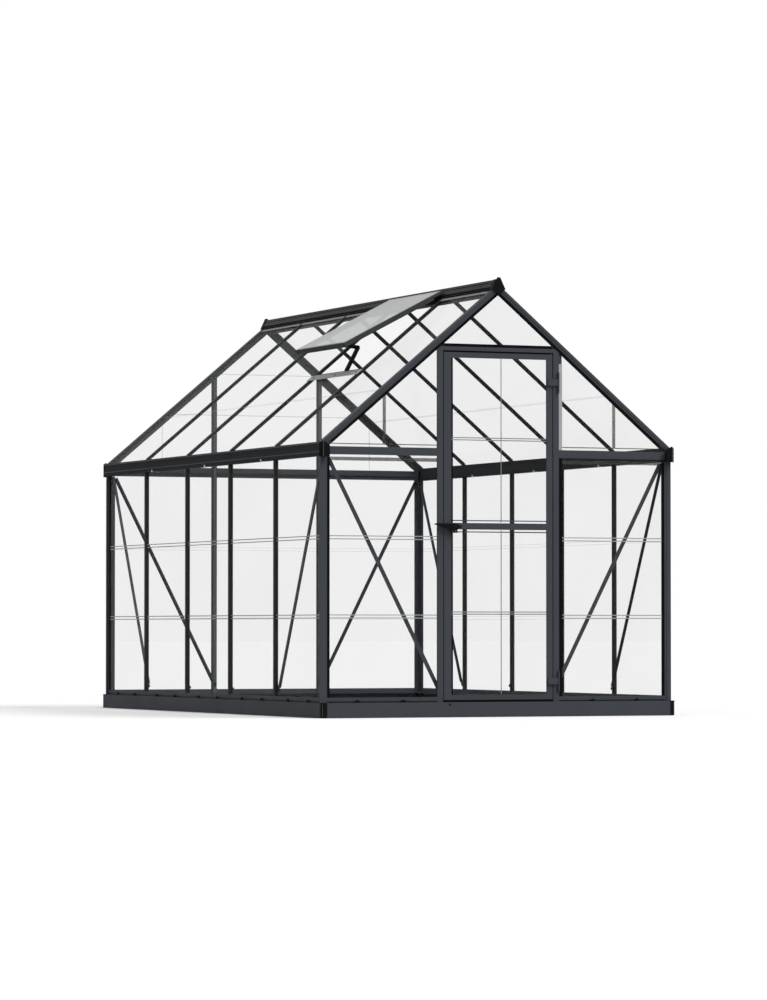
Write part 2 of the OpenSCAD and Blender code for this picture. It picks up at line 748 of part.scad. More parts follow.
// Gable sheets: cut to the slope inside the gable rafters' slots
module gable_sheet(x0, x1, z0, z1) {
    intersection() {
        sheet_on_wall() plain_sheet_2d(x0, x1, z0, z1);
        below_roof(post_tube + edge_clear);
    }
}
module front_gable_sheets() {
    low = bar_slot(eave_bar_z, eave_bar_h, 1);
    color(sheet_colour, 0.3) front_wall() {
        both_ends() gable_sheet(door_post_edge, gutter_wall_x, low, header_z - edge_clear);
        gable_sheet(-wall_x, wall_x, header_z + header_h / 2 + edge_clear, apex_z);
    }
}
module gable_rib(x0, x1, share) {
    foot = rear_bar_z + rear_bar_h;
    intersection() {
        along_wall(x0, x1) rib_2d(foot + share * (apex_z - foot));
        below_roof(post_flange + edge_clear);
    }
}
module rear_gable_sheets() {
    low = bar_slot(rear_bar_z, rear_bar_h, 1);
    color(sheet_colour, 0.3) rear_wall() {
        both_ends() {
            gable_sheet(rear_edge_out, gutter_wall_x, low, apex_z);
            gable_rib(rear_rib_out, wall_x, gable_rib_low);
            intersection() {
                upright(rear_bar_z + rear_bar_h + edge_clear, apex_z) crease_2d(joint_rear_x);
                below_roof(post_flange + edge_clear);
            }
        }
        gable_sheet(-rear_edge_in, rear_edge_in, low, apex_z);
        for (share = [gable_rib_low, gable_rib_high]) gable_rib(-rear_rib_in, rear_rib_in, share);
    }
}

// Roof sheets run from under the ridge's wings to the gutter, with one rib across
module roof_sheet(i, x_top) {
    sheet_on_wall() plain_sheet_2d(bay_lo(i), bay_hi(i), down(sheet_end_x), down(x_top));
    along_wall(rib_lo(i), rib_hi(i)) rib_2d(down(roof_rib_x));
}
// On the left slope, local x runs towards the front, so the front bay is the last one
vent_index = bays - 1 - round(bays_before_vent);
vent_sheet_top = (vent_sill_at + section_t) * cos(roof_pitch);
module left_roof_sheets() {
    color(sheet_colour, 0.3) left_slope() for (i = [0:bays - 1])
        roof_sheet(i, i == vent_index ? vent_sheet_top : sheet_top_x);
}
module right_roof_sheets() {
    color(sheet_colour, 0.3) right_slope() for (i = [0:bays - 1]) roof_sheet(i, sheet_top_x);
}

// Flat braces across the end bays, from the top of the corner to the foot of the next bar
module brace(x_low, z_low, x_high, z_high) {
    run = [x_high - x_low, z_high - z_low];
    across = [-run[1], run[0]] / norm(run) * brace_w / 2;
    flat_on_wall(bar_depth, bar_depth + brace_t) polygon([
        [x_low, z_low] + across, [x_high, z_high] + across,
        [x_high, z_high] - across, [x_low, z_low] - across
    ]);
}
module wall_braces() {
    low = rail_top + brace_w;
    high = eave_z - brace_w / 2;
    side_foot = abs(bar_y(0));
    color(frame_colour) {
        front_wall() both_ends()
            brace(doorway_w / 2 + door_post_tube / 2, low, wall_x - corner_reach, high);
        rear_wall() both_ends() brace(rear_post_x, low, wall_x - corner_reach, high);
        left_wall() both_ends() brace(side_foot, low, wall_y - corner_reach, high);
        right_wall() both_ends() brace(side_foot, low, wall_y - corner_reach, high);
    }
}

// Vent: hinged beside the ridge cover, lifted off the rafters at its lower end
vent_lo = vent_index == 0 ? -wall_y : bar_y(vent_index - 1);
vent_hi = vent_index == bays - 1 ? wall_y : bar_y(vent_index);
vent_nose_r = 4;
vent_mid = (vent_lo + vent_hi) / 2;
vent_w = vent_hi - vent_lo + 2 * vent_over;
module on_vent() {
    left_slope() translate([vent_mid, -vent_hinge_h, -vent_hinge_at])
        rotate([-vent_open, 0, 0]) children();
}
module vent_frame() {
    top = vent_nose_r - vent_depth;
    color(frame_colour) on_vent() difference() {
        union() {
            translate([-vent_w / 2, top, -vent_len]) cube([vent_w, vent_depth, vent_len]);
            translate([-vent_w / 2, 0, 0]) rotate([0, 90, 0]) cylinder(r = vent_nose_r, h = vent_w);
        }
        translate([-vent_w / 2 + vent_bar, top - cut, vent_bar - vent_len])
            cube([vent_w - 2 * vent_bar, vent_depth + 2 * cut, vent_len - 2 * vent_bar]);
    }
}
// The vent's sheet lies on its frame
module vent_sheet() {
    color(sheet_colour, 0.3) on_vent()
        translate([edge_clear - vent_w / 2, vent_nose_r - vent_depth - sheet_t, edge_clear - vent_len])
            cube([vent_w - 2 * edge_clear, sheet_t, vent_len - edge_clear - vent_bar / 2]);
}
module vent_sill() {
    gap = mullion_w / 2;
    over = vent_sill_over;
    color(frame_colour) left_slope() translate([0, 0, -vent_sill_at]) {
        along_wall(vent_lo - over, vent_hi + over)
            translate([-section_t, -vent_sill_w / 2]) square([section_t, vent_sill_w]);
        along_wall(vent_lo + gap, vent_hi - gap) {
            translate([0, section_t * 2]) square([bar_depth, section_t]);
            translate([seat, -vent_sill_w / 2]) square([section_t, vent_sill_w / 2 + section_t * 3]);
        }
    }
}
// Stay: an arm that leans along the sill, and an upper arm out to the vent's lower bar
stay_arm = 10;
stay_foot = 105;
stay_knee = 251;
stay_x = (vent_sill_at - vent_sill_w / 2) * cos(roof_pitch);
stay_low = roof_z(stay_x, -section_t);
// Pitch of the open vent, its hinge line, and the height of its underside
vent_pitch = roof_pitch - vent_open;
vent_hinge_x = vent_hinge_at * cos(roof_pitch) + vent_hinge_h * sin(roof_pitch);
vent_hinge_z = apex_z - vent_hinge_at * sin(roof_pitch) + vent_hinge_h * cos(roof_pitch);
vent_line_z = vent_hinge_z - vent_nose_r / cos(vent_pitch);
function vent_under(x) = vent_line_z - (x - vent_hinge_x) * tan(vent_pitch);
vent_bar_x = vent_hinge_x + (vent_len - vent_bar / 2) * cos(vent_pitch);
// The knee's share of the upright gap between the sill and the vent
stay_share = 0.67;
stay_high = stay_low + stay_share * (vent_under(stay_x) - stay_low);
module vent_stay() {
    a = stay_arm;
    foot_y = -vent_mid - stay_foot;
    knee_y = -vent_mid - stay_knee;
    color(plastic_colour) difference() {
        union() {
            translate([-stay_x, 0, 0]) along_wall(-a / 2, a / 2) polygon([
                [foot_y - a, stay_low - a], [foot_y + a, stay_low - a],
                [knee_y + a, stay_high + a / 2], [knee_y - a, stay_high + a / 2]
            ]);
            flat_on_wall(knee_y - a, knee_y + a) polygon([
                [a / 2 - stay_x, stay_high - a / 2], [a / 2 - stay_x, stay_high + a / 2],
                [-vent_bar_x, vent_under(vent_bar_x) + a], [-vent_bar_x, vent_under(vent_bar_x) - a / 2]
            ]);
        }
        left_slope() translate([-far, -section_t, -far]) cube([2 * far, far, 2 * far]);
        on_vent() translate([-far, vent_nose_r - far, -far]) cube([2 * far, far, 2 * far]);
    }
}

// Door, in the plane of the front wall
module door_stiles() {
    color(frame_colour) front_wall() {
        upright(door_bottom, door_top) {
            translate([-door_r + latch_stile_w / 2, 0]) stile_2d(latch_stile_w, 0, stile_reveal);
            translate([door_r - hinge_stile_w / 2, 0]) stile_2d(hinge_stile_w, 1, 0);
        }
    }
}
// Stile: a tube on its left half and a glazing slot on its right, or the other way about
module stile_2d(w, flip, reveal) {
    mirror([flip, 0, 0]) {
        face_2d(w);
        translate([-w / 2, 0]) difference() {
            square([w / 2, door_depth]);
            translate([section_t, section_t]) square([w / 2 - 2 * section_t, door_depth - 2 * section_t]);
        }
        lip_2d(0, w / 2 + reveal);
    }
}
rail_x0 = latch_stile_w - door_r;
rail_x1 = door_r - hinge_stile_w;
module door_rail(z0, h, slot_low, slot_high) {
    along_wall(rail_x0, rail_x1) translate([0, z0]) square([section_t, h]);
    along_wall(rail_x0 + stile_reveal, rail_x1) {
        translate([seat, z0]) square([section_t, h]);
        translate([section_t, z0 + (slot_low ? h / 2 - section_t : 0)])
            square([door_depth - section_t, (slot_low && slot_high) ? 2 * section_t : h / 2]);
    }
}
// Thin strip behind the panes, over or under the middle rail
module door_strip(z) {
    strip_on_wall() translate([rail_x0 + stile_reveal, z - thin_strip_h / 2])
        square([rail_x1 - rail_x0 - stile_reveal, thin_strip_h]);
}
module door_rails() {
    strip_off = (door_mid_h + thin_strip_h) / 2 + mid_strip_gap;
    color(frame_colour) front_wall() {
        door_rail(door_bottom, door_low_h, false, true);
        door_rail(door_mid_z - door_mid_h / 2, door_mid_h, true, true);
        door_rail(door_top - door_top_h, door_top_h, true, false);
        door_strip(door_mid_z - strip_off);
        door_strip(door_mid_z + strip_off);
    }
}
module door_sheets() {
    x0 = -door_r + latch_stile_w / 2;
    x1 = door_r - hinge_stile_w / 2;
    low0 = door_bottom + door_low_h / 2 + edge_clear;
    low1 = door_mid_z - section_t - edge_clear;
    high0 = door_mid_z + section_t + edge_clear;
    high1 = door_top - door_top_h / 2 - edge_clear;
    rib0 = rail_x0 + edge_clear;
    rib1 = rail_x1 - edge_clear;
    mid = (rib0 + rib1) / 2;
    color(sheet_colour, 0.3) front_wall() {
        sheet_on_wall() plain_sheet_2d(x0, x1, low0, low1);
        along_wall(rib0, rib1) rib_2d(door_rib_low);
        upright(door_bottom + door_low_h + edge_clear, low1 - door_mid_h / 2) crease_2d(mid);
        sheet_on_wall() plain_sheet_2d(x0, x1, high0, high1);
        along_wall(rib0, rib1) rib_2d(door_rib_high);
        upright(high0 + door_mid_h / 2, door_top - door_top_h - edge_clear) crease_2d(mid);
    }
}

// Hinges: two knuckles and the pin on the post, one knuckle on the door
knuckle_h = (hinge_h - 4 * knuckle_gap) / 3;
module at_hinges() {
    for (z = [hinge_low_z, hinge_high_z]) translate([hinge_x, hinge_y, z]) children();
}
module door_hinge_leaves() {
    inset = leaf_t * 2;
    reach = hinge_x - door_r + hinge_stile_w - inset;
    leaf_y = -leaf_t / 2;
    color(frame_colour) at_hinges() difference() {
        union() {
            translate([0, 0, -knuckle_h / 2]) cylinder(r = knuckle_r, h = knuckle_h);
            translate([-reach, leaf_y, -knuckle_h / 2]) cube([reach, leaf_t, knuckle_h]);
            translate([-reach, leaf_y, -knuckle_h / 2])
                cube([hinge_stile_w - 2 * inset, hinge_front - leaf_y, knuckle_h]);
        }
        cylinder(r = pin_r + run_clear, h = hinge_h, center = true);
    }
}
module post_hinge_leaves() {
    leaf_w = door_post_w - hinge_out + knuckle_r;
    color(frame_colour) at_hinges() {
        cylinder(r = pin_r, h = hinge_h, center = true);
        for (side = [-1, 1]) translate([0, 0, side * (hinge_h - knuckle_h) / 2]) {
            cylinder(r = knuckle_r, h = knuckle_h, center = true);
            translate([-knuckle_r, 0, -knuckle_h / 2]) cube([leaf_w, hinge_front, knuckle_h]);
        }
    }
}

// Handle: a plate on the middle rail carries a spindle, and the lever turns on it.
// Plate and lever each hang an eye for a padlock.
eye_x = 10;
eye_drop = belly_h - 2 * eye_r;
module at_handle() { front_wall() translate([handle_x, 0, handle_z]) rotate([90, 0, 0]) children(); }
module handle_plate() {
    tail = boss_r * 2;
    color(plastic_colour) at_handle() {
        linear_extrude(boss_t) difference() {
            union() {
                circle(r = boss_r);
                translate([0, -boss_r / 2]) square([tail, boss_r]);
                translate([-eye_r, -belly_h]) square([eye_x + 2 * eye_r, belly_h]);
            }
            translate([eye_x - eye_r, -eye_drop]) circle(r = eye_r);
        }
        cylinder(r = spindle_r, h = boss_t + handle_gap + handle_t);
    }
}
module door_handle() {
    tip = 3;
    color(plastic_colour) at_handle() translate([0, 0, boss_t + handle_gap]) linear_extrude(handle_t)
        difference() {
            polygon([
                [-finger_l, hub_r - tip], [4 * tip - finger_l, hub_r], [hub_r, hub_r], [hub_r, -hub_r],
                [0, -hub_r], [-eye_x, -belly_h], [-eye_x - 2 * hub_r / 3, -belly_h],
                [-2 * hub_r, -hub_r], [-finger_l * 0.66, -tip]
            ]);
            circle(r = spindle_r + run_clear);
            translate([-eye_x - tip, -eye_drop]) circle(r = eye_r);
        }
}

base_front();
base_rear();
base_left();
base_right();
base_corners();
corner_posts();
left_mullions();
right_mullions();
door_posts();
rear_posts();
bottom_rails();
front_eave_bars();
rear_eave_bars();
glazing_strips();
door_header();
left_gutter();
right_gutter();
gutter_caps();
ridge_beam();
ridge_caps();
front_gable_rafters();
rear_gable_rafters();
left_rafters();
right_rafters();
front_wall_sheets();
rear_wall_sheets();
left_wall_sheets();
right_wall_sheets();
front_gable_sheets();
rear_gable_sheets();
left_roof_sheets();
right_roof_sheets();
wall_braces();
vent_frame();
vent_sheet();
vent_sill();
vent_stay();
door_stiles();
door_rails();
door_sheets();
door_hinge_leaves();
post_hinge_leaves();
handle_plate();
door_handle();
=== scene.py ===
"""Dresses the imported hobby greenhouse: finishes, small fittings, studio and camera.

Every length is in metres in the part's own frame: X across the house, Y from the front
gable to the rear one, Z up, with the origin on the ground under the middle.
"""

import functools
import json
import logging
import math
from dataclasses import dataclass, field
from enum import Enum
from typing import Any, Iterable, Iterator, Optional, Sequence, Union

import bmesh
import bpy
from mathutils import Matrix, Vector

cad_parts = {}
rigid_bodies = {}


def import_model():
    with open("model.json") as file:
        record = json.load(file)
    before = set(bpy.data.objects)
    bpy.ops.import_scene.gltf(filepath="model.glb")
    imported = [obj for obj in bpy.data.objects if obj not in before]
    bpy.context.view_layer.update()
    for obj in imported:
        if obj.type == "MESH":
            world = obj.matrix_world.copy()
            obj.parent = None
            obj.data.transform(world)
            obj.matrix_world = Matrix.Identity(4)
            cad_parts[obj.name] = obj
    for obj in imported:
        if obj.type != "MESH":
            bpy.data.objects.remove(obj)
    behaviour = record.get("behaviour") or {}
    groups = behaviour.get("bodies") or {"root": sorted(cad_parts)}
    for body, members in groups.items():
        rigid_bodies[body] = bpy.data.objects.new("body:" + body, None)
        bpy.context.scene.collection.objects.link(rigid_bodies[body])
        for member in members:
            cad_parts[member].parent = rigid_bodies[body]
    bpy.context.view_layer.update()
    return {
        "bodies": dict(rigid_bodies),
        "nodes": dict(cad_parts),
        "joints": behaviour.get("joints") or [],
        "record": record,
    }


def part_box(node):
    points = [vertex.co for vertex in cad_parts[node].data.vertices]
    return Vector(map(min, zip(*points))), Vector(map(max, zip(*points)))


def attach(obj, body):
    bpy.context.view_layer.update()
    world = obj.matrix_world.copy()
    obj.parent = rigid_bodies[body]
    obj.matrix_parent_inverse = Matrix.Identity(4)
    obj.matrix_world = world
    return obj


log = logging.getLogger("greenhouse")

MM = 0.001
WHITE = "#ffffff"
# Left and right, or front and rear, as signs.
SIDES = (-1, 1)
# The same for x and y at the house's four corners.
CORNERS = tuple((side, front) for side in SIDES for front in SIDES)
# Two coordinates closer than this are the same.
SAME = 1e-6


class Body(Enum):
    """The bodies that new pieces ride on."""

    HOUSE = "house"
    DOOR = "door"


class Slot(Enum):
    """The record's material slots."""

    FRAME = "frame"
    BASE = "base"
    PLASTIC = "plastic"
    SHEET = "sheet"


class Wall(Enum):
    """The four walls, each with the turn about Z that brings the front wall to it."""

    FRONT = 0.0
    RIGHT = 90.0
    REAR = 180.0
    LEFT = 270.0


GABLES = (Wall.FRONT, Wall.REAR)
LONG_WALLS = (Wall.LEFT, Wall.RIGHT)

Span = tuple[float, float]
Box = tuple[Span, Span, Span, Matrix]
Input = Union[float, tuple, bpy.types.NodeSocket]


def linear(hex_colour: str) -> tuple[float, float, float, float]:
    """Turn an sRGB hex colour to linear RGBA.

    Args:
        hex_colour: Six hex digits after a hash sign.

    Returns:
        Linear red, green, blue and an alpha of 1.
    """
    channels = [int(hex_colour[i : i + 2], 16) / 255 for i in (1, 3, 5)]
    red, green, blue = (
        c / 12.92 if c <= 0.04045 else ((c + 0.055) / 1.055) ** 2.4 for c in channels
    )
    return red, green, blue, 1.0


def about(middle: float, half: float) -> Span:
    """Span with a given middle and half width."""
    return middle - half, middle + half


def times(span: Span, sign: int) -> Span:
    """Span on its own side of the middle, or mirrored to the other side."""
    return sign * span[0], sign * span[1]


def add_node(
    tree: bpy.types.NodeTree,
    kind: str,
    inputs: Optional[dict[Union[str, int], Input]] = None,
    **settings: Any,
) -> bpy.types.Node:
    """Add a node with its settings, its constant inputs and its links.

    Args:
        tree: Node tree that gets the node.
        kind: Blender's name of the node type.
        inputs: Socket name or index to a constant or to the output that feeds it.
        settings: Attributes of the node itself.

    Returns:
        The new node.
    """
    node = tree.nodes.new(kind)
    for name, value in settings.items():
        setattr(node, name, value)
    for name, value in (inputs or {}).items():
        if isinstance(value, bpy.types.NodeSocket):
            tree.links.new(value, node.inputs[name])
        else:
            node.inputs[name].default_value = value
    return node


def blank_material(name: str) -> tuple[bpy.types.Material, bpy.types.NodeTree]:
    """Make a material with an empty node tree.

    Args:
        name: Name of the real material.

    Returns:
        The material and its node tree.
    """
    material = bpy.data.materials.new(name)
    material.use_nodes = True
    material.node_tree.nodes.clear()
    return material, material.node_tree


def noise(tree: bpy.types.NodeTree, size_mm: float, detail: float) -> bpy.types.NodeSocket:
    """Add noise that is fixed to the piece.

    Args:
        tree: Node tree that gets the nodes.
        size_mm: Width of one cell of the noise.
        detail: Finer layers in it.

    Returns:
        The noise, from 0 to 1.
    """
    place = add_node(tree, "ShaderNodeTexCoord").outputs["Object"]
    inputs = {"Vector": place, "Scale": 1.0 / (size_mm * MM), "Detail": detail}
    return add_node(tree, "ShaderNodeTexNoise", inputs).outputs["Fac"]


def bump(
    tree: bpy.types.NodeTree, height: bpy.types.NodeSocket, depth_mm: float, strength: float
) -> bpy.types.NodeSocket:
    """Turn heights into a bumpy surface.

    Args:
        tree: Node tree that gets the node.
        height: The heights.
        depth_mm: How far they go.
        strength: Share of them that shows.

    Returns:
        The surface's normal.
    """
    inputs = {"Height": height, "Distance": depth_mm * MM, "Strength": strength}
    return add_node(tree, "ShaderNodeBump", inputs).outputs["Normal"]


def map_range(
    tree: bpy.types.NodeTree, value: bpy.types.NodeSocket, source: Span, target: Span
) -> bpy.types.NodeSocket:
    """Stretch a value from one range to another.

    Args:
        tree: Node tree that gets the node.
        value: The value.
        source: Its own range.
        target: The new range.

    Returns:
        The stretched value.
    """
    names = ("From Min", "From Max", "To Min", "To Max")
    inputs = {"Value": value, **dict(zip(names, (*source, *target)))}
    return add_node(tree, "ShaderNodeMapRange", inputs).outputs["Result"]


def add_surface(tree: bpy.types.NodeTree, inputs: dict[Union[str, int], Input]) -> None:
    """Close a material's tree with a plain surface that has these inputs."""
    shader = add_node(tree, "ShaderNodeBsdfPrincipled", inputs)
    add_node(tree, "ShaderNodeOutputMaterial", {"Surface": shader.outputs["BSDF"]})


@dataclass(frozen=True)
class Coating:
    """An opaque surface with a fine skin, faint blotches and a soft gloss.

    Attributes:
        name: Common name of the material.
        base: Main colour.
        shade: Colour of the faint blotches.
        roughness: Gloss in the middle of its range.
        specular: Strength of the clear reflection over the colour.
        metallic: Share of bare metal in the surface.
        skin_mm: Width of one bump of the skin.
        skin_depth_mm: Depth of the skin's bumps.
        skin_detail: Finer layers in the skin.
        skin_strength: Share of the skin's bumps that shows.
        blotch_mm: Width of the blotches.
        blotch_detail: Finer layers in the blotches.
        roughness_swing: How far the gloss goes up and down.
    """

    name: str
    base: str
    shade: str
    roughness: float
    specular: float = 0.04
    metallic: float = 0.0
    skin_mm: float = 4.0
    skin_depth_mm: float = 0.06
    skin_detail: float = 2.0
    skin_strength: float = 0.5
    blotch_mm: float = 220.0
    blotch_detail: float = 4.0
    roughness_swing: float = 0.06

    def material(self) -> bpy.types.Material:
        """Build the material's nodes.

        Returns:
            The finished material.
        """
        material, tree = blank_material(self.name)
        blotches = noise(tree, self.blotch_mm, self.blotch_detail)
        tones = {0: blotches, 6: linear(self.base), 7: linear(self.shade)}
        colour = add_node(tree, "ShaderNodeMix", tones, data_type="RGBA")
        gloss = about(self.roughness, self.roughness_swing)
        skin = noise(tree, self.skin_mm, self.skin_detail)
        inputs = {
            "Base Color": colour.outputs[2],
            "Roughness": map_range(tree, blotches, (0.0, 1.0), gloss),
            "Normal": bump(tree, skin, self.skin_depth_mm, self.skin_strength),
            "Metallic": self.metallic,
            "Specular IOR Level": self.specular,
        }
        add_surface(tree, inputs)
        return material


@dataclass(frozen=True)
class PlasticSheet:
    """Thin extruded polycarbonate: it greys what is behind it and shines at a slant.

    Attributes:
        name: Common name of the material.
        tint: Colour that the sheet itself has.
        cover: How much of the view one face covers, at its clearest.
        haze: What faint smears add to that.
        slant: What a slanting look adds to that.
        roughness: Gloss of the face.
        smear_mm: Width of the smears.
        wave_mm: Width of the slow waves left by extrusion.
        wave_depth_mm: Depth of those waves.
        smear_detail: Finer layers in the smears.
        smear_range: Values of the smears' noise between which the haze grows.
        wave_detail: Finer layers in the waves.
        wave_strength: Share of the waves that shows.
        slant_blend: How early a slanting look starts to count.
        ior: Refractive index of polycarbonate.
    """

    name: str
    tint: str
    cover: float
    haze: float
    slant: float
    roughness: float
    smear_mm: float = 420.0
    wave_mm: float = 140.0
    wave_depth_mm: float = 0.2
    smear_detail: float = 3.0
    smear_range: Span = (0.3, 0.7)
    wave_detail: float = 1.0
    wave_strength: float = 0.3
    slant_blend: float = 0.15
    ior: float = 1.58

    def material(self) -> bpy.types.Material:
        """Build the material's nodes.

        Returns:
            The finished material.
        """
        material, tree = blank_material(self.name)
        smears = noise(tree, self.smear_mm, self.smear_detail)
        veil = map_range(tree, smears, self.smear_range, (self.cover, self.cover + self.haze))
        look = add_node(tree, "ShaderNodeLayerWeight", {"Blend": self.slant_blend})
        terms = {0: look.outputs["Facing"], 1: self.slant, 2: veil}
        alpha = add_node(tree, "ShaderNodeMath", terms, operation="MULTIPLY_ADD")
        waves = noise(tree, self.wave_mm, self.wave_detail)
        inputs = {
            "Base Color": linear(self.tint),
            "Roughness": self.roughness,
            "IOR": self.ior,
            "Alpha": alpha.outputs["Value"],
            "Normal": bump(tree, waves, self.wave_depth_mm, self.wave_strength),
        }
        add_surface(tree, inputs)
        return material


Finish = Union[Coating, PlasticSheet]

# Powder coat on aluminium: an even dark blue-grey with a dull satin and a faint orange peel.
# The real peel is under a millimetre across and is drawn coarser, so that it shows.
POWDER_COAT = Coating("powder_coated_aluminium", "#484b51", "#44474c", 0.5)
# Powder coat on rolled steel: the walls' grey, a little flatter and less even.
STEEL_COAT = Coating("powder_coated_steel", "#494c52", "#42454b", 0.54, blotch_mm=160.0)
# The next five are copies of one dark grey coat with painted light and shade. Each is set to
# how its bars look in the photograph, where light, reflections and the sheets in front of them play
# a part.
# Side bars: painted shade, a neutral dark grey a little darker than the plain coat.
SIDE_BAR_SHADE_COAT = Coating("side_bar_powder_coat_painted_shade", "#464845", "#3e403d", 0.55, specular=0.03)
# Roof bars: painted shade of bars seen from below, as dark, with a little more blue.
ROOF_BAR_SHADE_COAT = Coating("roof_bar_powder_coat_painted_shade", "#47494b", "#3d3f41", 0.55, specular=0.02)
# Rear gable's bars: paler, with the light of the two layers of sheet in front of them painted into
# the colour.
REAR_BAR_PAINTED_LIGHT_COAT = Coating("rear_bar_powder_coat_painted_light", "#5a5d5f", "#505355", 0.6, specular=0.02)
# Ridge cover: painted shade, darker than the plain coat and slightly purple.
RIDGE_SHADE_COAT = Coating("ridge_powder_coat_painted_shade", "#434046", "#3a383d", 0.5)
# Gutters: painted shade, matt and nearly black, so that only their beads, in the plain coat, catch
# light.
GUTTER_SHADE_COAT = Coating("gutter_powder_coat_painted_shade", "#323538", "#2c2f31", 0.6, specular=0.01)
# Mill-finish aluminium: a pale grey without a coat, dulled by its oxide. The same pale grey is a
# painted highlight beside the right door post.
MILL_METAL_AND_HIGHLIGHT = Coating("mill_finish_aluminium_and_painted_highlight", "#b4b7b7", "#a3a6a6", 0.5)
# Grey edging rubber: a soft dark grey, almost without gloss.
GREY_RUBBER = Coating("grey_edging_rubber", "#58585c", "#4d4d51", 0.75, specular=0.02, skin_mm=3.0)
# Moulded nylon: near black, with a fine spark-eroded grain that dulls its highlights.
NYLON = Coating("moulded_black_nylon", "#151617", "#101111", 0.55, skin_mm=2.5, skin_depth_mm=0.1)
# The same nylon on a raised edge, drawn paler as a painted highlight where the edge catches light.
NYLON_EDGE_HIGHLIGHT = Coating("black_nylon_painted_edge_highlight", "#565a5b", "#4a4d4e", 0.4, skin_mm=2.5)
# Rubber glazing strip: soft black, almost without gloss. The same black is also painted shade on
# lips, in gaps and in grooves.
BLACK_RUBBER_AND_SHADE = Coating("black_glazing_rubber_and_painted_shade", "#141515", "#0f1010", 0.8, specular=0.02, skin_mm=3.0)
# Pale strip under the ridge cover, taken as closure foam: grey and without gloss.
FOAM = Coating("pale_closure_foam", "#9a9d98", "#8f928d", 0.85, specular=0.02, skin_mm=3.0)
# Blackened steel: small dark bolt heads with a slight oily gloss.
BOLT_STEEL = Coating("blackened_steel", "#141517", "#0f1011", 0.4, specular=0.15, blotch_mm=9.0)
# Zinc-plated steel: pale grey metal with uneven, cloudy gloss.
ZINC = Coating("zinc_plated_steel", "#d6d8d9", "#bcbfc1", 0.38, metallic=1.0, blotch_mm=12.0)
# Edge of a pressed rib: clear plastic seen on edge, which reads as a thin grey line.
RIB_EDGE = Coating("pressed_polycarbonate_edge", "#999e9e", "#abb0b0", 0.25, blotch_mm=90.0)
# The door's ribs are pressed deeper, and their edges read darker.
DOOR_RIB_EDGE = Coating(
    "deep_pressed_polycarbonate_edge", "#797d7e", "#8a8e8f", 0.25, blotch_mm=90.0
)
# Clear polycarbonate: nearly invisible face on, with a faint grey veil.
CLEAR = PlasticSheet("clear_polycarbonate", "#1d2021", 0.034, 0.01, 0.05, 0.09)
# Shallow ribs and folds in the clear sheets, which only show as pale, see-through bands.
FAINT_RIB = PlasticSheet("shallow_pressed_polycarbonate", "#4e5252", 0.05, 0.03, 0.05, 0.2)
# Thinner folds in the rear gable's sheets, a little darker than the ribs.
FAINT_FOLD = PlasticSheet("folded_polycarbonate_edge", "#4e5252", 0.16, 0.04, 0.05, 0.2)
# Strip behind the sheets, taken as smoked plastic: grey over a pale background, black over
# a dark one.
SMOKED = PlasticSheet("smoked_polycarbonate_strip", "#1a1b1b", 0.56, 0.06, 0.0, 0.3)
# Frosted polycarbonate of the roof vent: a pale grey that hides the bars under it.
FROSTED = PlasticSheet("frosted_polycarbonate", "#b0b2b2", 0.58, 0.06, 0.1, 0.35)


@functools.cache
def material_of(finish: Finish) -> bpy.types.Material:
    """Material of a finish, built on first use."""
    return finish.material()


@dataclass
class Piece:
    """A new piece that is modelled in one bmesh and then set on a body.

    Attributes:
        name: Name of the piece.
        finish: What it is made of.
        slot: The record's slot for that. It is not used.
        body: The body it rides on.
        rounding: Width of the rounding on its bars' edges.
        mesh: The mesh it is modelled in.
    """

    name: str
    finish: Finish
    slot: Slot
    body: Body = Body.HOUSE
    rounding: float = 0.3 * MM
    mesh: bmesh.types.BMesh = field(default_factory=bmesh.new)

    def stamp(self, shape: bpy.types.Mesh, place: Matrix) -> None:
        """Add a copy of a small shape.

        Args:
            shape: The shape, about its own origin.
            place: Where the copy goes.
        """
        first = len(self.mesh.verts)
        self.mesh.from_mesh(shape)
        self.mesh.verts.ensure_lookup_table()
        bmesh.ops.transform(self.mesh, matrix=place, verts=self.mesh.verts[first:])

    def bar(self, x: Span, y: Span, z: Span, place: Matrix) -> None:
        """Add a bar, its edges rounded.

        Args:
            x: Where it starts and ends along x in its own frame, in either order.
            y: The same along y.
            z: The same along z.
            place: Where that frame lies.
        """
        low = Vector([min(span) for span in (x, y, z)])
        high = Vector([max(span) for span in (x, y, z)])
        shape = Matrix.Translation((low + high) / 2) @ Matrix.Diagonal((*(high - low), 1.0))
        made = bmesh.ops.create_cube(self.mesh, size=1.0, matrix=place @ shape)
        edges = {edge for vert in made["verts"] for edge in vert.link_edges}
        round_edges(self.mesh, edges, self.rounding)

    def finish_piece(self) -> None:
        """Make the object, dress it and let it ride on its body."""
        data = shape_from(self.mesh, self.name)
        piece = link_object(self.name, data)
        data.materials.append(material_of(self.finish))
        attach(piece, self.body.value)
        log.info("%s: %d faces on %s", self.name, len(data.polygons), self.body.value)


def round_edges(
    mesh: bmesh.types.BMesh, edges: Iterable[bmesh.types.BMEdge], width: float, segments: int = 2
) -> None:
    """Round some edges of a mesh.

    Args:
        mesh: The mesh.
        edges: Edges to round.
        width: Width of the rounding.
        segments: Steps across it.
    """
    bmesh.ops.bevel(
        mesh,
        geom=list(edges),
        offset=width,
        affect="EDGES",
        segments=segments,
        profile=0.5,
        material=-1,
    )


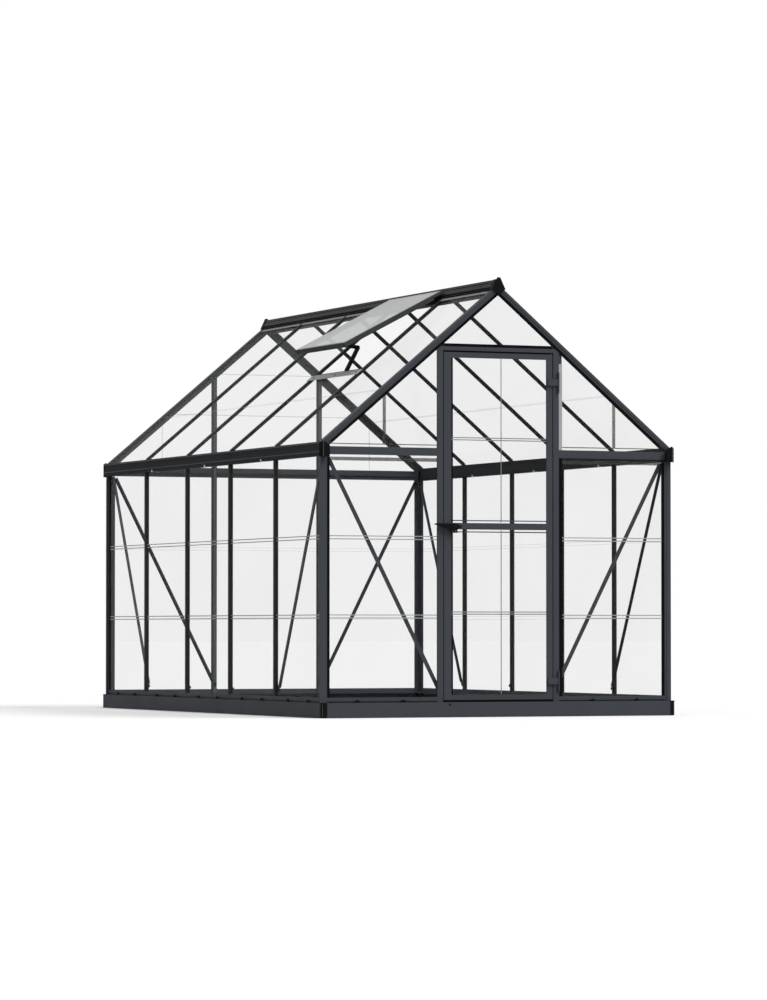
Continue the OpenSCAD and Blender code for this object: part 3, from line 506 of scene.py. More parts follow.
def add_rod(
    mesh: bmesh.types.BMesh, sides: int, radius: float, length: float, place: Matrix
) -> None:
    """Add a closed rod to a mesh.

    Args:
        mesh: The mesh.
        sides: Flats round the rod.
        radius: Its radius.
        length: Its length.
        place: Where its middle lies, with the rod along z.
    """
    bmesh.ops.create_cone(
        mesh,
        cap_ends=True,
        segments=sides,
        radius1=radius,
        radius2=radius,
        depth=length,
        matrix=place,
    )


def keep_upper_half(mesh: bmesh.types.BMesh) -> None:
    """Cut away what lies below z = 0."""
    parts = mesh.verts[:] + mesh.edges[:] + mesh.faces[:]
    bmesh.ops.bisect_plane(
        mesh, geom=parts, plane_co=(0, 0, 0), plane_no=(0, 0, -1), clear_outer=True
    )


def shape_from(mesh: bmesh.types.BMesh, name: str) -> bpy.types.Mesh:
    """Keep a shape as mesh data.

    Args:
        mesh: The shape, which is freed.
        name: Name of the data.

    Returns:
        The mesh data.
    """
    bmesh.ops.recalc_face_normals(mesh, faces=mesh.faces)
    data = bpy.data.meshes.new(name)
    mesh.to_mesh(data)
    mesh.free()
    return data


def link_object(name: str, data: bpy.types.ID) -> bpy.types.Object:
    """Put some data into the scene, at the origin.

    Args:
        name: Name of the object.
        data: Mesh, lamp or camera.

    Returns:
        The object.
    """
    thing = bpy.data.objects.new(name, data)
    bpy.context.scene.collection.objects.link(thing)
    return thing


def on_wall(wall: Wall, along: float, out: float, height: float) -> Matrix:
    """Place on a wall for a shape that faces the front.

    Args:
        wall: The wall.
        along: Distance along the wall from its middle, to the right seen from outside.
        out: Distance of the wall's face from the middle of the house.
        height: Height above the ground.

    Returns:
        The shape's matrix, with its own -Y pointing out of the wall.
    """
    turn = Matrix.Rotation(math.radians(wall.value), 4, "Z")
    return turn @ Matrix.Translation((along, -out, height))


def between(start: Sequence[float], end: Sequence[float], side: Sequence[float]) -> Matrix:
    """Frame for a bar that runs from one point to another.

    Args:
        start: Where the frame's origin lies.
        end: Where its x axis points to.
        side: Direction of its y axis, which is square to the run.

    Returns:
        The frame.
    """
    along = (Vector(end) - Vector(start)).normalized()
    across = Vector(side).normalized()
    columns = (along, across, along.cross(across))
    return Matrix([(*axis, 0) for axis in columns] + [(*start, 1)]).transposed()


@dataclass
class HouseSizes:
    """Planes of the house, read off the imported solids, and a few sizes of its sections."""

    wall_x: float
    wall_y: float
    base_x: float
    base_y: float
    base_top: float
    rail_top: float
    eave: float
    bars_y: tuple[float, ...]
    door_post_out: float
    bar_half: float = 12 * MM
    bar_depth: float = 16 * MM
    brace_t: float = 2 * MM
    post_flange: float = 25 * MM
    lip_end: float = 39 * MM
    sheet_front: float = 2.5 * MM
    rear_pane: float = 0.288
    apex: float = 2.063
    wall_head: float = 1.3

    @classmethod
    def read(cls, bays: int = 5) -> "HouseSizes":
        """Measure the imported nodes.

        Args:
            bays: Bays along each side wall.

        Returns:
            The sizes.
        """
        bar_low, bar_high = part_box("left_mullions")
        rails_low, rails_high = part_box("bottom_rails")
        first, last = bar_low.y + cls.bar_half, bar_high.y - cls.bar_half
        pitch = (last - first) / (bays - 2)
        return cls(
            wall_x=-rails_low.x,
            wall_y=-rails_low.y,
            base_x=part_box("base_right")[1].x,
            base_y=-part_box("base_front")[0].y,
            base_top=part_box("base_front")[1].z,
            rail_top=rails_high.z,
            eave=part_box("corner_posts")[1].z,
            bars_y=tuple(first + i * pitch for i in range(bays - 1)),
            door_post_out=-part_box("door_posts")[0].x,
        )

    @property
    def pitch(self) -> float:
        """Pitch of the roof slopes in radians."""
        return math.atan2(self.apex - self.wall_head, self.wall_x)

    def wall_out(self, wall: Wall) -> float:
        """Distance of a wall's outer face from the middle of the house."""
        return self.wall_y if wall in GABLES else self.wall_x

    def brace_face(self, wall: Wall) -> float:
        """Distance of the braces' inner face from the middle of the house."""
        return self.wall_out(wall) - self.bar_depth - self.brace_t

    def half_length(self, wall: Wall) -> float:
        """Half the length of a wall, between the corner posts' planes."""
        return self.wall_x if wall in GABLES else self.wall_y

    def panes(self, wall: Wall) -> list[Span]:
        """Find the clear stretches of a wall.

        Args:
            wall: The wall.

        Returns:
            Start and end of each pane along the wall, between the faces of its bars.
        """
        end = self.half_length(wall) - self.post_flange
        if wall in LONG_WALLS:
            starts = [-end, *(y + self.bar_half for y in self.bars_y)]
            ends = [*(y - self.bar_half for y in self.bars_y), end]
            return list(zip(starts, ends))
        outer = [(-end, -self.door_post_out), (self.door_post_out, end)]
        if wall is Wall.REAR:
            outer.insert(1, (-self.rear_pane, self.rear_pane))
        return outer

    def gable_reach(self, height: float) -> float:
        """Half width of a gable's sheet at a height, inside the rafters' lips."""
        drop = self.apex - height - self.lip_end / math.cos(self.pitch)
        return drop / math.tan(self.pitch)

    def slope(self, side: int) -> Matrix:
        """Frame of a roof slope.

        Args:
            side: -1 for the left slope, 1 for the right one.

        Returns:
            A frame at the apex whose x runs down the slope, y to the rear, z out of it.
        """
        run, rise = math.cos(self.pitch), math.sin(self.pitch)
        columns = ((side * run, 0, -rise), (0, 1, 0), (side * rise, 0, run), (0, 0, self.apex))
        return Matrix([(*axis, 0) for axis in columns[:3]] + [(*columns[3], 1)]).transposed()


SLOT_FINISHES: dict[str, Finish] = {
    Slot.FRAME.value: POWDER_COAT,
    Slot.BASE.value: STEEL_COAT,
    Slot.PLASTIC.value: NYLON,
    Slot.SHEET.value: CLEAR,
}
# Imported nodes that look different from the rest of their slot: bars with painted shade, the rear
# gable's bars with painted light, and other plastics.
NODE_FINISHES: dict[str, Finish] = {
    "left_mullions": SIDE_BAR_SHADE_COAT,
    "right_mullions": SIDE_BAR_SHADE_COAT,
    "left_gutter": GUTTER_SHADE_COAT,
    "right_gutter": GUTTER_SHADE_COAT,
    "ridge_beam": RIDGE_SHADE_COAT,
    "rear_gable_rafters": REAR_BAR_PAINTED_LIGHT_COAT,
    "rear_posts": REAR_BAR_PAINTED_LIGHT_COAT,
    "left_rafters": ROOF_BAR_SHADE_COAT,
    "right_rafters": ROOF_BAR_SHADE_COAT,
    "vent_frame": ROOF_BAR_SHADE_COAT,
    "vent_sill": ROOF_BAR_SHADE_COAT,
    "glazing_strips": SMOKED,
    "vent_sheet": FROSTED,
}


def dress(frame: dict[str, Any]) -> None:
    """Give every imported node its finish, by its own name or by the record's slot.
    """
    for part in frame["record"]["subparts"]:
        data = frame["nodes"][part["node"]].data
        finish = NODE_FINISHES.get(part["node"], SLOT_FINISHES[part["material_slot"]])
        data.materials.clear()
        data.materials.append(material_of(finish))


@dataclass
class Fittings:
    """A group of small fittings on the house.

    Attributes:
        house: Where the house's planes lie.
    """

    house: HouseSizes

    def build(self) -> None:
        """Model and dress the group's pieces."""
        raise NotImplementedError

    def add_bars(self, piece: Piece, boxes: Iterable[Box]) -> None:
        """Fill a piece with bars and dress it.

        Args:
            piece: The piece.
            boxes: Spans and place of each bar.
        """
        for box in boxes:
            piece.bar(*box)
        piece.finish_piece()

    def add_stamps(self, piece: Piece, shape: bpy.types.Mesh, places: Iterable[Matrix]) -> None:
        """Fill a piece with copies of a shape and dress it.

        Args:
            piece: The piece.
            shape: The shape.
            places: Where the copies go.
        """
        for place in places:
            piece.stamp(shape, place)
        piece.finish_piece()


@dataclass
class CornerTops(Fittings):
    """Plastic angles that close the base's corners around the corner posts' feet."""

    reach: float = 28 * MM
    margin: float = 1 * MM
    sunk: float = 0.8 * MM
    rise: float = 1.2 * MM
    rounding: float = 0.4 * MM

    def legs(self) -> Iterator[Box]:
        """Lay out the angles' legs.

        Yields:
            Two legs at each corner.
        """
        house = self.house
        height = (house.base_top - self.sunk, house.base_top + self.rise)
        out_x, out_y = house.base_x - self.margin, house.base_y - self.margin
        legs = (
            ((house.wall_x, out_x), (house.wall_y - self.reach, out_y)),
            ((house.wall_x - self.reach, house.wall_x), (house.wall_y, out_y)),
        )
        for side, front in CORNERS:
            for leg_x, leg_y in legs:
                yield times(leg_x, side), times(leg_y, front), height, Matrix.Identity(4)

    def build(self) -> None:
        """Model and dress the four angles."""
        piece = Piece("base_corner_tops", NYLON, Slot.PLASTIC, rounding=self.rounding)
        self.add_bars(piece, self.legs())


@dataclass
class RailCaps(Fittings):
    """Half-round plastic caps that hold the bottom rails down on the base."""

    width: float = 27 * MM
    depth: float = 7 * MM
    rounding: float = 1.2 * MM
    end_gap: float = 170 * MM
    gable_shares: Span = (0.3, 0.7)
    segments: int = 28
    edge_steps: int = 3

    def shape(self) -> bpy.types.Mesh:
        """Model one cap: a half disc, drawn out and rounded over.

        Returns:
            The cap, standing on z = 0 with its back at y = 0.
        """
        mesh = bmesh.new()
        bmesh.ops.create_circle(
            mesh,
            cap_ends=True,
            segments=self.segments,
            radius=self.width / 2,
            matrix=Matrix.Rotation(math.radians(90), 4, "X"),
        )
        keep_upper_half(mesh)
        out = bmesh.ops.extrude_face_region(mesh, geom=mesh.faces[:])
        moved = [v for v in out["geom"] if isinstance(v, bmesh.types.BMVert)]
        bmesh.ops.translate(mesh, verts=moved, vec=(0, -self.depth, 0))
        front = [e for e in mesh.edges if all(abs(v.co.y + self.depth) < SAME for v in e.verts)]
        round_edges(mesh, front, self.rounding, self.edge_steps)
        return shape_from(mesh, "rail_cap_shape")

    def places(self) -> Iterator[Matrix]:
        """Work out where the caps sit.

        Yields:
            The place of each cap, two to a bay.
        """
        house = self.house
        edges = (-house.wall_y, *house.bars_y, house.wall_y)
        for wall in LONG_WALLS:
            for low, high in zip(edges, edges[1:]):
                for along in (low + self.end_gap, high - self.end_gap):
                    yield on_wall(wall, along, house.wall_x, house.base_top)
        bay = house.wall_x - house.door_post_out
        for wall in GABLES:
            for side in SIDES:
                for share in self.gable_shares:
                    along = side * (house.door_post_out + share * bay)
                    yield on_wall(wall, along, house.wall_y, house.base_top)

    def build(self) -> None:
        """Model and dress all the caps as one piece."""
        self.add_stamps(Piece("rail_caps", NYLON, Slot.PLASTIC), self.shape(), self.places())


@dataclass(frozen=True)
class Fasteners:
    """Bolts, nuts and screws of one kind, seen from the outside or the inside."""

    head_r: float = 5.5 * MM
    head_h: float = 3.2 * MM
    washer_r: float = 8 * MM
    washer_h: float = 1.2 * MM
    rounding: float = 0.5 * MM
    nut_sides: int = 6
    round_segments: int = 20
    dome_rings: int = 12

    def hex_nut(self) -> bpy.types.Mesh:
        """Model a nut on a washer.

        Returns:
            The nut, its foot at y = 0 and facing -Y.
        """
        mesh = bmesh.new()
        upright = Matrix.Rotation(math.radians(90), 4, "X")
        nut = Matrix.Translation((0, 0, self.washer_h + self.head_h / 2))
        add_rod(mesh, self.nut_sides, self.head_r, self.head_h, upright @ nut)
        round_edges(mesh, mesh.edges[:], self.rounding)
        washer = Matrix.Translation((0, 0, self.washer_h / 2))
        add_rod(mesh, self.round_segments, self.washer_r, self.washer_h, upright @ washer)
        return shape_from(mesh, "hex_nut_shape")

    def pan_screw(self) -> bpy.types.Mesh:
        """Model a domed screw head.

        Returns:
            The head, its foot at y = 0 and facing -Y.
        """
        mesh = bmesh.new()
        bmesh.ops.create_uvsphere(
            mesh,
            u_segments=self.round_segments,
            v_segments=self.dome_rings,
            radius=self.head_r,
        )
        keep_upper_half(mesh)
        rim = [edge for edge in mesh.edges if edge.is_boundary]
        bmesh.ops.contextual_create(mesh, geom=rim)
        bmesh.ops.scale(mesh, vec=(1, 1, self.head_h / self.head_r), verts=mesh.verts[:])
        upright = Matrix.Rotation(math.radians(90), 3, "X")
        bmesh.ops.rotate(mesh, cent=(0, 0, 0), matrix=upright, verts=mesh.verts[:])
        return shape_from(mesh, "pan_screw_shape")


@dataclass
class SheetRibs(Fittings):
    """Edges of the ribs and folds that are pressed into the clear sheets."""

    heights: tuple[float, ...] = (0.476, 0.848)
    line_h: float = 4.5 * MM
    line_apart: float = 14.5 * MM
    line_t: float = 1.1 * MM
    deep_t: float = 1.7 * MM
    end_gap: float = 2 * MM
    door_heights: tuple[float, ...] = (0.493, 1.322)
    door_apart: float = 10.5 * MM
    door_span: Span = (-0.245, 0.253)
    fold_x: float = 0.0145
    fold_panes: tuple[Span, ...] = ((0.107, 0.888), (0.924, 1.706))
    gable_ribs: tuple[Span, ...] = ((1.5685, 0.6), (1.79, 0.29))
    gable_fold_x: float = 0.602
    gable_foot: float = 1.286
    roof_rib_x: float = 0.615
    roof_rib_half: float = 6.5 * MM

    def wall_lines(self, walls: Sequence[Wall]) -> Iterator[Box]:
        """Draw two lines along each rib of some walls, on the outside of the sheets.

        Args:
            walls: The walls.

        Yields:
            The lines.
        """
        house = self.house
        for wall in walls:
            out = house.wall_out(wall) - house.sheet_front
            for start, end in house.panes(wall):
                run = (start + self.end_gap, end - self.end_gap)
                for rib in self.heights:
                    for side in SIDES:
                        place = on_wall(wall, 0.0, out, rib + side * self.line_apart / 2)
                        yield run, (-self.line_t, 0.0), about(0.0, self.line_h / 2), place

    def door_lines(self) -> Iterator[Box]:
        """Draw the lines along the door's ribs and down its upright fold.

        Yields:
            The lines.
        """
        out = self.house.wall_y - self.house.sheet_front
        width = about(0.0, self.line_h / 2)
        for rib in self.door_heights:
            for side in SIDES:
                place = on_wall(Wall.FRONT, 0.0, out, rib + side * self.door_apart / 2)
                yield self.door_span, (-self.deep_t, 0.0), width, place
        for height in self.fold_panes:
            yield width, (-self.line_t, 0.0), height, on_wall(Wall.FRONT, self.fold_x, out, 0.0)

    def gable_lines(self) -> Iterator[Box]:
        """Draw the rear gable's ribs and its two upright folds.

        Yields:
            The lines.
        """
        house = self.house
        place = on_wall(Wall.REAR, 0.0, house.wall_y - house.sheet_front, 0.0)
        half = self.line_h / 2
        for height, widest in self.gable_ribs:
            reach = min(house.gable_reach(height + half), widest)
            for start, end in house.panes(Wall.REAR):
                run = (max(start, -reach), min(end, reach))
                if run[0] < run[1]:
                    yield run, (-self.deep_t, 0.0), about(height, half), place
        top = house.apex - self.gable_fold_x * math.tan(house.pitch)
        top -= house.lip_end / math.cos(house.pitch)
        for side in SIDES:
            width = about(side * self.gable_fold_x, half)
            yield width, (-self.line_t, 0.0), (self.gable_foot, top), place

    def roof_bands(self) -> Iterator[Box]:
        """Draw the one rib across each bay of both roof slopes.

        Yields:
            The bands.
        """
        house = self.house
        width = about(self.roof_rib_x / math.cos(house.pitch), self.roof_rib_half)
        height = (-house.sheet_front, self.deep_t - house.sheet_front)
        for side in SIDES:
            for start, end in house.panes(Wall.LEFT):
                run = (start + self.end_gap, end - self.end_gap)
                yield width, run, height, house.slope(side)

    def build(self) -> None:
        """Model and dress the lines of the walls, the door, the rear gable and the roof."""
        near, far = (Wall.LEFT, Wall.FRONT), (Wall.RIGHT, Wall.REAR)
        self.add_bars(Piece("wall_rib_edges", RIB_EDGE, Slot.SHEET), self.wall_lines(near))
        self.add_bars(Piece("far_wall_rib_edges", FAINT_RIB, Slot.SHEET), self.wall_lines(far))
        door = Piece("door_rib_edges", DOOR_RIB_EDGE, Slot.SHEET, Body.DOOR)
        self.add_bars(door, self.door_lines())
        self.add_bars(Piece("rear_gable_folds", FAINT_FOLD, Slot.SHEET), self.gable_lines())
        self.add_bars(Piece("roof_rib_bands", FAINT_RIB, Slot.SHEET), self.roof_bands())


@dataclass
class Gaskets(Fittings):
    """Rubber and metal strips in front of the sheets, beside the bars that hold them. The black
    strips are also painted shade on lips and in gaps, and the pale metal one is a painted
    highlight.
    """

    thick: float = 1.2 * MM
    bite: float = 0.2 * MM
    wall_top: float = 1.226
    header_z: float = 1.742
    header_h: float = 19 * MM
    seal_h: float = 14.2 * MM
    door_lip: float = 18 * MM
    doorway: float = 0.2885
    head_gap: Span = (1.7355, 1.742)
    foot_gap: Span = (0.07, 0.079)
    seal_depth: Span = (3 * MM, 14 * MM)
    stile_lip: Span = (-0.246, -0.2372)
    stile_panes: tuple[Span, ...] = ((0.105, 0.89), (0.922, 1.708))
    eave_bar: Span = (1.238, 1.276)
    lip_top: float = 1.69

    @property
    def depth(self) -> Span:
        """Front and back of a strip that is pressed against a sheet."""
        return -self.thick, self.bite

    @property
    def post_lip(self) -> Span:
        """Sides of the right door post's outer lip."""
        return self.house.door_post_out, self.house.door_post_out + self.door_lip

    def sheet_face(self, wall: Wall) -> Matrix:
        """Place on the outer face of a wall's sheets, in the middle at the ground."""
        return on_wall(wall, 0.0, self.house.wall_out(wall) - self.house.sheet_front, 0.0)

    def post_strips(self) -> Iterator[Box]:
        """Lay a black strip beside each face of the corner posts, also painted shade on the posts'
        lips.

        Yields:
            The strips.
        """
        house = self.house
        for wall in Wall:
            end = house.half_length(wall)
            lip = (end - house.lip_end, end - house.post_flange)
            for side in SIDES:
                height = (house.rail_top, self.wall_top)
                yield times(lip, side), self.depth, height, self.sheet_face(wall)

    def roof_strips(self) -> Iterator[Box]:
        """Lay a strip on the roof sheets beside each gable rafter.

        Yields:
            The strips.
        """
        house = self.house
        lip = (house.wall_y - house.lip_end, house.wall_y - house.post_flange)
        run = (house.lip_end, house.wall_x / math.cos(house.pitch))
        height = (-house.sheet_front - self.bite, self.thick - house.sheet_front)
        for side, front in CORNERS:
            yield run, times(lip, front), height, house.slope(side)

    def rafter_strips(self) -> Iterator[Box]:
        """Lay a black strip under each gable rafter's face, also painted shade on its lip.

        Yields:
            The strips.
        """
        house = self.house
        face = house.wall_y - house.sheet_front
        depth = (face - self.bite, face + self.thick)
        foot = house.wall_x / math.cos(house.pitch) - house.lip_end
        run = (house.lip_end * math.tan(house.pitch), foot)
        for side, front in CORNERS:
            height = (-house.lip_end, -house.post_flange)
            yield run, times(depth, front), height, house.slope(side)

    def doorway_shade_seals(self) -> Iterator[Box]:
        """Lay black seals over the header, beside the right post, and in the gaps at the door's
        head and foot, also painted shade there.

        Yields:
            The seals.
        """
        house = self.house
        face = self.sheet_face(Wall.FRONT)
        bottom = self.header_z + self.header_h
        top = bottom + self.seal_h
        yield about(0.0, house.gable_reach(top)), self.depth, (bottom, top), face
        yield self.post_lip, self.depth, (house.rail_top, self.eave_bar[0]), face
        for gap in (self.head_gap, self.foot_gap):
            place = on_wall(Wall.FRONT, 0.0, house.wall_y, 0.0)
            yield about(0.0, self.doorway), self.seal_depth, gap, place

    def build(self) -> None:
        """Model and dress all the strips."""
        self.add_bars(Piece("post_gaskets_painted_shade", BLACK_RUBBER_AND_SHADE, Slot.PLASTIC), self.post_strips())
        self.add_bars(Piece("roof_gaskets", GREY_RUBBER, Slot.PLASTIC), self.roof_strips())
        self.add_bars(Piece("rafter_gaskets_painted_shade", BLACK_RUBBER_AND_SHADE, Slot.PLASTIC), self.rafter_strips())
        self.add_bars(Piece("header_seals_painted_shade", BLACK_RUBBER_AND_SHADE, Slot.PLASTIC), self.doorway_shade_seals())
        face = self.sheet_face(Wall.FRONT)
        # A pale strip beside the right door post's lip: a painted highlight, drawn in the pale
        # metal.
        pale = (self.post_lip, self.depth, (self.eave_bar[1], self.lip_top), face)
        self.add_bars(Piece("door_post_highlight_strip", MILL_METAL_AND_HIGHLIGHT, Slot.FRAME), [pale])
        stile = [(self.stile_lip, self.depth, height, face) for height in self.stile_panes]
        self.add_bars(Piece("latch_stile_gasket_painted_shade", BLACK_RUBBER_AND_SHADE, Slot.PLASTIC, Body.DOOR), stile)


@dataclass
class BraceRibs(Fittings):
    """Upstands along the middle of the flat braces, which make them T bars."""

    depth: float = 10 * MM
    thick: float = 2 * MM
    end_gap: float = 22 * MM
    rounding: float = 0.4 * MM
    foot_z: float = 0.115
    head_drop: float = 10 * MM
    front_foot: float = 0.297
    rear_foot: float = 0.305

    def foot(self, wall: Wall) -> float:
        """Distance of a brace's foot from the middle of its wall."""
        feet = {Wall.FRONT: self.front_foot, Wall.REAR: self.rear_foot}
        return feet.get(wall, self.house.bars_y[-1])

    def upstands(self) -> Iterator[Box]:
        """Lay out the upstands.

        Yields:
            One upstand for each of the eight braces.
        """
        house = self.house
        for wall in Wall:
            face = on_wall(wall, 0.0, house.brace_face(wall), 0.0)
            top = house.half_length(wall) - house.lip_end
            for side in SIDES:
                start = (side * self.foot(wall), 0.0, self.foot_z)
                end = (side * top, 0.0, house.eave - self.head_drop)
                length = (Vector(end) - Vector(start)).length
                run = (self.end_gap, length - self.end_gap)
                frame = face @ between(start, end, (0, 1, 0))
                yield run, (0.0, self.depth), about(0.0, self.thick / 2), frame

    def build(self) -> None:
        """Model and dress all the upstands as one piece."""
        piece = Piece("brace_upstands", POWDER_COAT, Slot.FRAME, rounding=self.rounding)
        self.add_bars(piece, self.upstands())


@dataclass
class WallBolts(Fittings):
    """Nuts inside the walls: at the bars' feet and tops and at the braces' ends."""

    foot_z: float = 0.122
    head_z: float = 1.212
    post_width: float = 16 * MM

    def places(self) -> Iterator[Matrix]:
        """Work out where the nuts sit.

        Yields:
            The place of each nut, facing into the house.
        """
        house = self.house
        inwards = Matrix.Rotation(math.pi, 4, "Z")
        for wall in Wall:
            inner = house.brace_face(wall)
            corner = house.half_length(wall) - house.lip_end
            door_post = house.door_post_out - self.post_width
            feet = (-door_post, door_post) if wall in GABLES else house.bars_y
            for along in feet:
                yield on_wall(wall, along, inner, self.foot_z) @ inwards
            for along in (-corner, corner):
                yield on_wall(wall, along, inner, self.head_z) @ inwards

    def build(self) -> None:
        """Model and dress all the nuts as one piece."""
        piece = Piece("wall_bolts", BOLT_STEEL, Slot.FRAME)
        self.add_stamps(piece, Fasteners().hex_nut(), self.places())


@dataclass
class GutterFittings(Fittings):
    """Bright clips under the gutters, beads along them in the plain coat as painted light, and the
    corners' raised edges with a painted highlight.
    """

    clips_y: tuple[float, ...] = (-0.766, 0.0, 0.772)
    clip_w: float = 9 * MM
    clip_t: float = 1.2 * MM
    clip_up: float = 9 * MM
    reach: float = 20 * MM
    bead_r: float = 1.8 * MM
    bead_segments: int = 12
    cap_edge: Span = (0.9145, 1.535)
    cap_height: Span = (1.228, 1.3)
    foot_inset: float = 6 * MM
    foot_height: Span = (0.004, 0.066)
    gutter_half: float = 1.519
    line_t: float = 0.8 * MM
    line_heights: tuple[Span, ...] = ((1.2868, 1.2928), (1.247, 1.2515))

    def clips(self) -> Iterator[Box]:
        """Hook a clip round each gutter's floor at three places.

        Yields:
            The floor and the two upright ends of each clip.
        """
        width = about(0.0, self.clip_w / 2)
        end = self.reach + self.clip_t
        for wall in LONG_WALLS:
            for along in self.clips_y:
                place = on_wall(wall, along, self.house.wall_x, self.house.eave)
                yield width, (-end, end), (-self.clip_t, 0.0), place
                yield width, (-end, -end + self.clip_t), (0.0, self.clip_up), place
                yield width, (self.reach, end), (0.0, self.clip_up), place

    def corner_edge_highlights(self) -> None:
        """Run a bead of the paler nylon down the edge of each gutter cap and each base corner, as a
        painted highlight.
        """
        piece = Piece("corner_edge_highlights", NYLON_EDGE_HIGHLIGHT, Slot.PLASTIC)
        foot = (self.house.base_x - self.foot_inset, self.house.base_y - self.foot_inset)
        runs = ((self.cap_edge, self.cap_height), (foot, self.foot_height))
        for (x, y), (bottom, top) in runs:
            for side, front in CORNERS:
                place = Matrix.Translation((side * x, front * y, (bottom + top) / 2))
                add_rod(piece.mesh, self.bead_segments, self.bead_r, top - bottom, place)
        piece.finish_piece()

    def gutter_lit_beads(self) -> Iterator[Box]:
        """Run two flat beads along each gutter's outer face, in the plain coat as painted light on
        the profile's lips.

        Yields:
            The beads.
        """
        for wall in LONG_WALLS:
            place = on_wall(wall, 0.0, self.house.wall_x + self.reach, 0.0)
            for height in self.line_heights:
                yield about(0.0, self.gutter_half), (-self.line_t, self.line_t / 4), height, place

    def build(self) -> None:
        """Model and dress the clips, the corners' highlight beads and the gutters' lit beads."""
        self.add_bars(Piece("gutter_clips", ZINC, Slot.FRAME), self.clips())
        self.corner_edge_highlights()
        # The beads' plain coat is painted light against the gutter's painted shade.
        beads = Piece("gutter_lit_beads", POWDER_COAT, Slot.FRAME, rounding=self.line_t / 3)
        self.add_bars(beads, self.gutter_lit_beads())


@dataclass
class RidgeFittings(Fittings):
    """Sleeves over both ends of the ridge cover, black strips along it that paint the shade in its
    grooves, and foam under its edges.
    """

    foot: Span = (33.2 * MM, 2.0405)
    top: Span = (12.1 * MM, 2.0872)
    end_y: float = 1.509
    length: float = 30 * MM
    thick: float = 1.5 * MM
    foam: Span = (43.5 * MM, 62 * MM)
    foam_z: Span = (-2.7 * MM, -1.5 * MM)
    vent_bay: int = 1
    groove_shades: tuple[Span, ...] = ((2 * MM, 13 * MM), (35 * MM, 38 * MM))
    groove_shade_half: float = 0.5 * MM

    def sleeves(self) -> None:
        """Model and dress both sleeves: a folded outline, drawn out and thickened."""
        piece = Piece("ridge_sleeves", NYLON, Slot.PLASTIC)
        for end in SIDES:
            mesh = bmesh.new()
            outline = ((-1, self.foot), (-1, self.top), (1, self.top), (1, self.foot))
            points = [mesh.verts.new((side * x, end * self.end_y, z)) for side, (x, z) in outline]
            edges = [mesh.edges.new(pair) for pair in zip(points, points[1:])]
            drawn = bmesh.ops.extrude_edge_only(mesh, edges=edges)["geom"]
            moved = [item for item in drawn if isinstance(item, bmesh.types.BMVert)]
            bmesh.ops.translate(mesh, verts=moved, vec=(0, -end * self.length, 0))
            bmesh.ops.recalc_face_normals(mesh, faces=mesh.faces)
            bmesh.ops.solidify(mesh, geom=mesh.faces[:], thickness=-self.thick)
            piece.stamp(shape_from(mesh, "ridge_sleeve_shape"), Matrix.Identity(4))
        piece.finish_piece()

    def foam_strips(self) -> Iterator[Box]:
        """Lay a strip on each roof sheet along the ridge cover's edge, but not in the vent's bay.

        Yields:
            The strips.
        """
        for side in SIDES:
            for bay, pane in enumerate(self.house.panes(Wall.LEFT)):
                if side > 0 or bay != self.vent_bay:
                    yield self.foam, pane, self.foam_z, self.house.slope(side)

    def groove_shade_strips(self) -> Iterator[Box]:
        """Lay two black strips along each face of the ridge cover: painted shade that stands for
        its grooves.

        Yields:
            The strips.
        """
        run = 2 * (self.end_y - self.length)
        for side in SIDES:
            foot = (side * self.foot[0], -run / 2, self.foot[1])
            rise = (side * (self.top[0] - self.foot[0]), 0.0, self.top[1] - self.foot[1])
            frame = between(foot, (foot[0], run / 2, foot[2]), rise)
            for width in self.groove_shades:
                yield (0.0, run), width, about(0.0, self.groove_shade_half), frame

    def build(self) -> None:
        """Model and dress the ridge's fittings."""
        self.sleeves()
        self.add_bars(Piece("ridge_groove_shade", BLACK_RUBBER_AND_SHADE, Slot.PLASTIC), self.groove_shade_strips())
        self.add_bars(Piece("ridge_foam", FOAM, Slot.PLASTIC), self.foam_strips())


@dataclass
class DoorFittings(Fittings):
    """Screws of the handle, the door's foot and the hinges."""

    pivot: Span = (-0.231, 0.904)
    pivot_out: float = 17.7 * MM
    rail_screw: Span = (-0.196, 0.905)
    base_screw: Span = (-0.269, 0.06)
    pin: Span = (0.315, -1.5135)
    hinge_h: float = 96 * MM
    screw: Fasteners = Fasteners(head_r=6 * MM, head_h=2.4 * MM)
    pin_head: Fasteners = Fasteners(head_r=3.4 * MM, head_h=2 * MM)

    def pin_ends(self) -> Iterator[Matrix]:
        """Work out where the hinge pins' heads sit.

        Yields:
            The place of each head, facing down or up.
        """
        low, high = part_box("post_hinge_leaves")
        for bottom in (low.z, high.z - self.hinge_h):
            for turn, height in ((90.0, bottom), (-90.0, bottom + self.hinge_h)):
                place = Matrix.Translation((*self.pin, height))
                yield place @ Matrix.Rotation(math.radians(turn), 4, "X")

    def build(self) -> None:
        """Model and dress the screws and the hinge pins' heads."""
        house = self.house
        head = self.screw.pan_screw()
        on_door = (
            on_wall(Wall.FRONT, self.pivot[0], house.wall_y + self.pivot_out, self.pivot[1]),
            on_wall(Wall.FRONT, self.rail_screw[0], house.wall_y, self.rail_screw[1]),
        )
        self.add_stamps(Piece("door_screws", BOLT_STEEL, Slot.PLASTIC, Body.DOOR), head, on_door)
        fixed = Piece("base_and_hinge_screws", BOLT_STEEL, Slot.FRAME)
        fixed.stamp(head, on_wall(Wall.FRONT, self.base_screw[0], house.base_y, self.base_screw[1]))
        self.add_stamps(fixed, self.pin_head.pan_screw(), self.pin_ends())


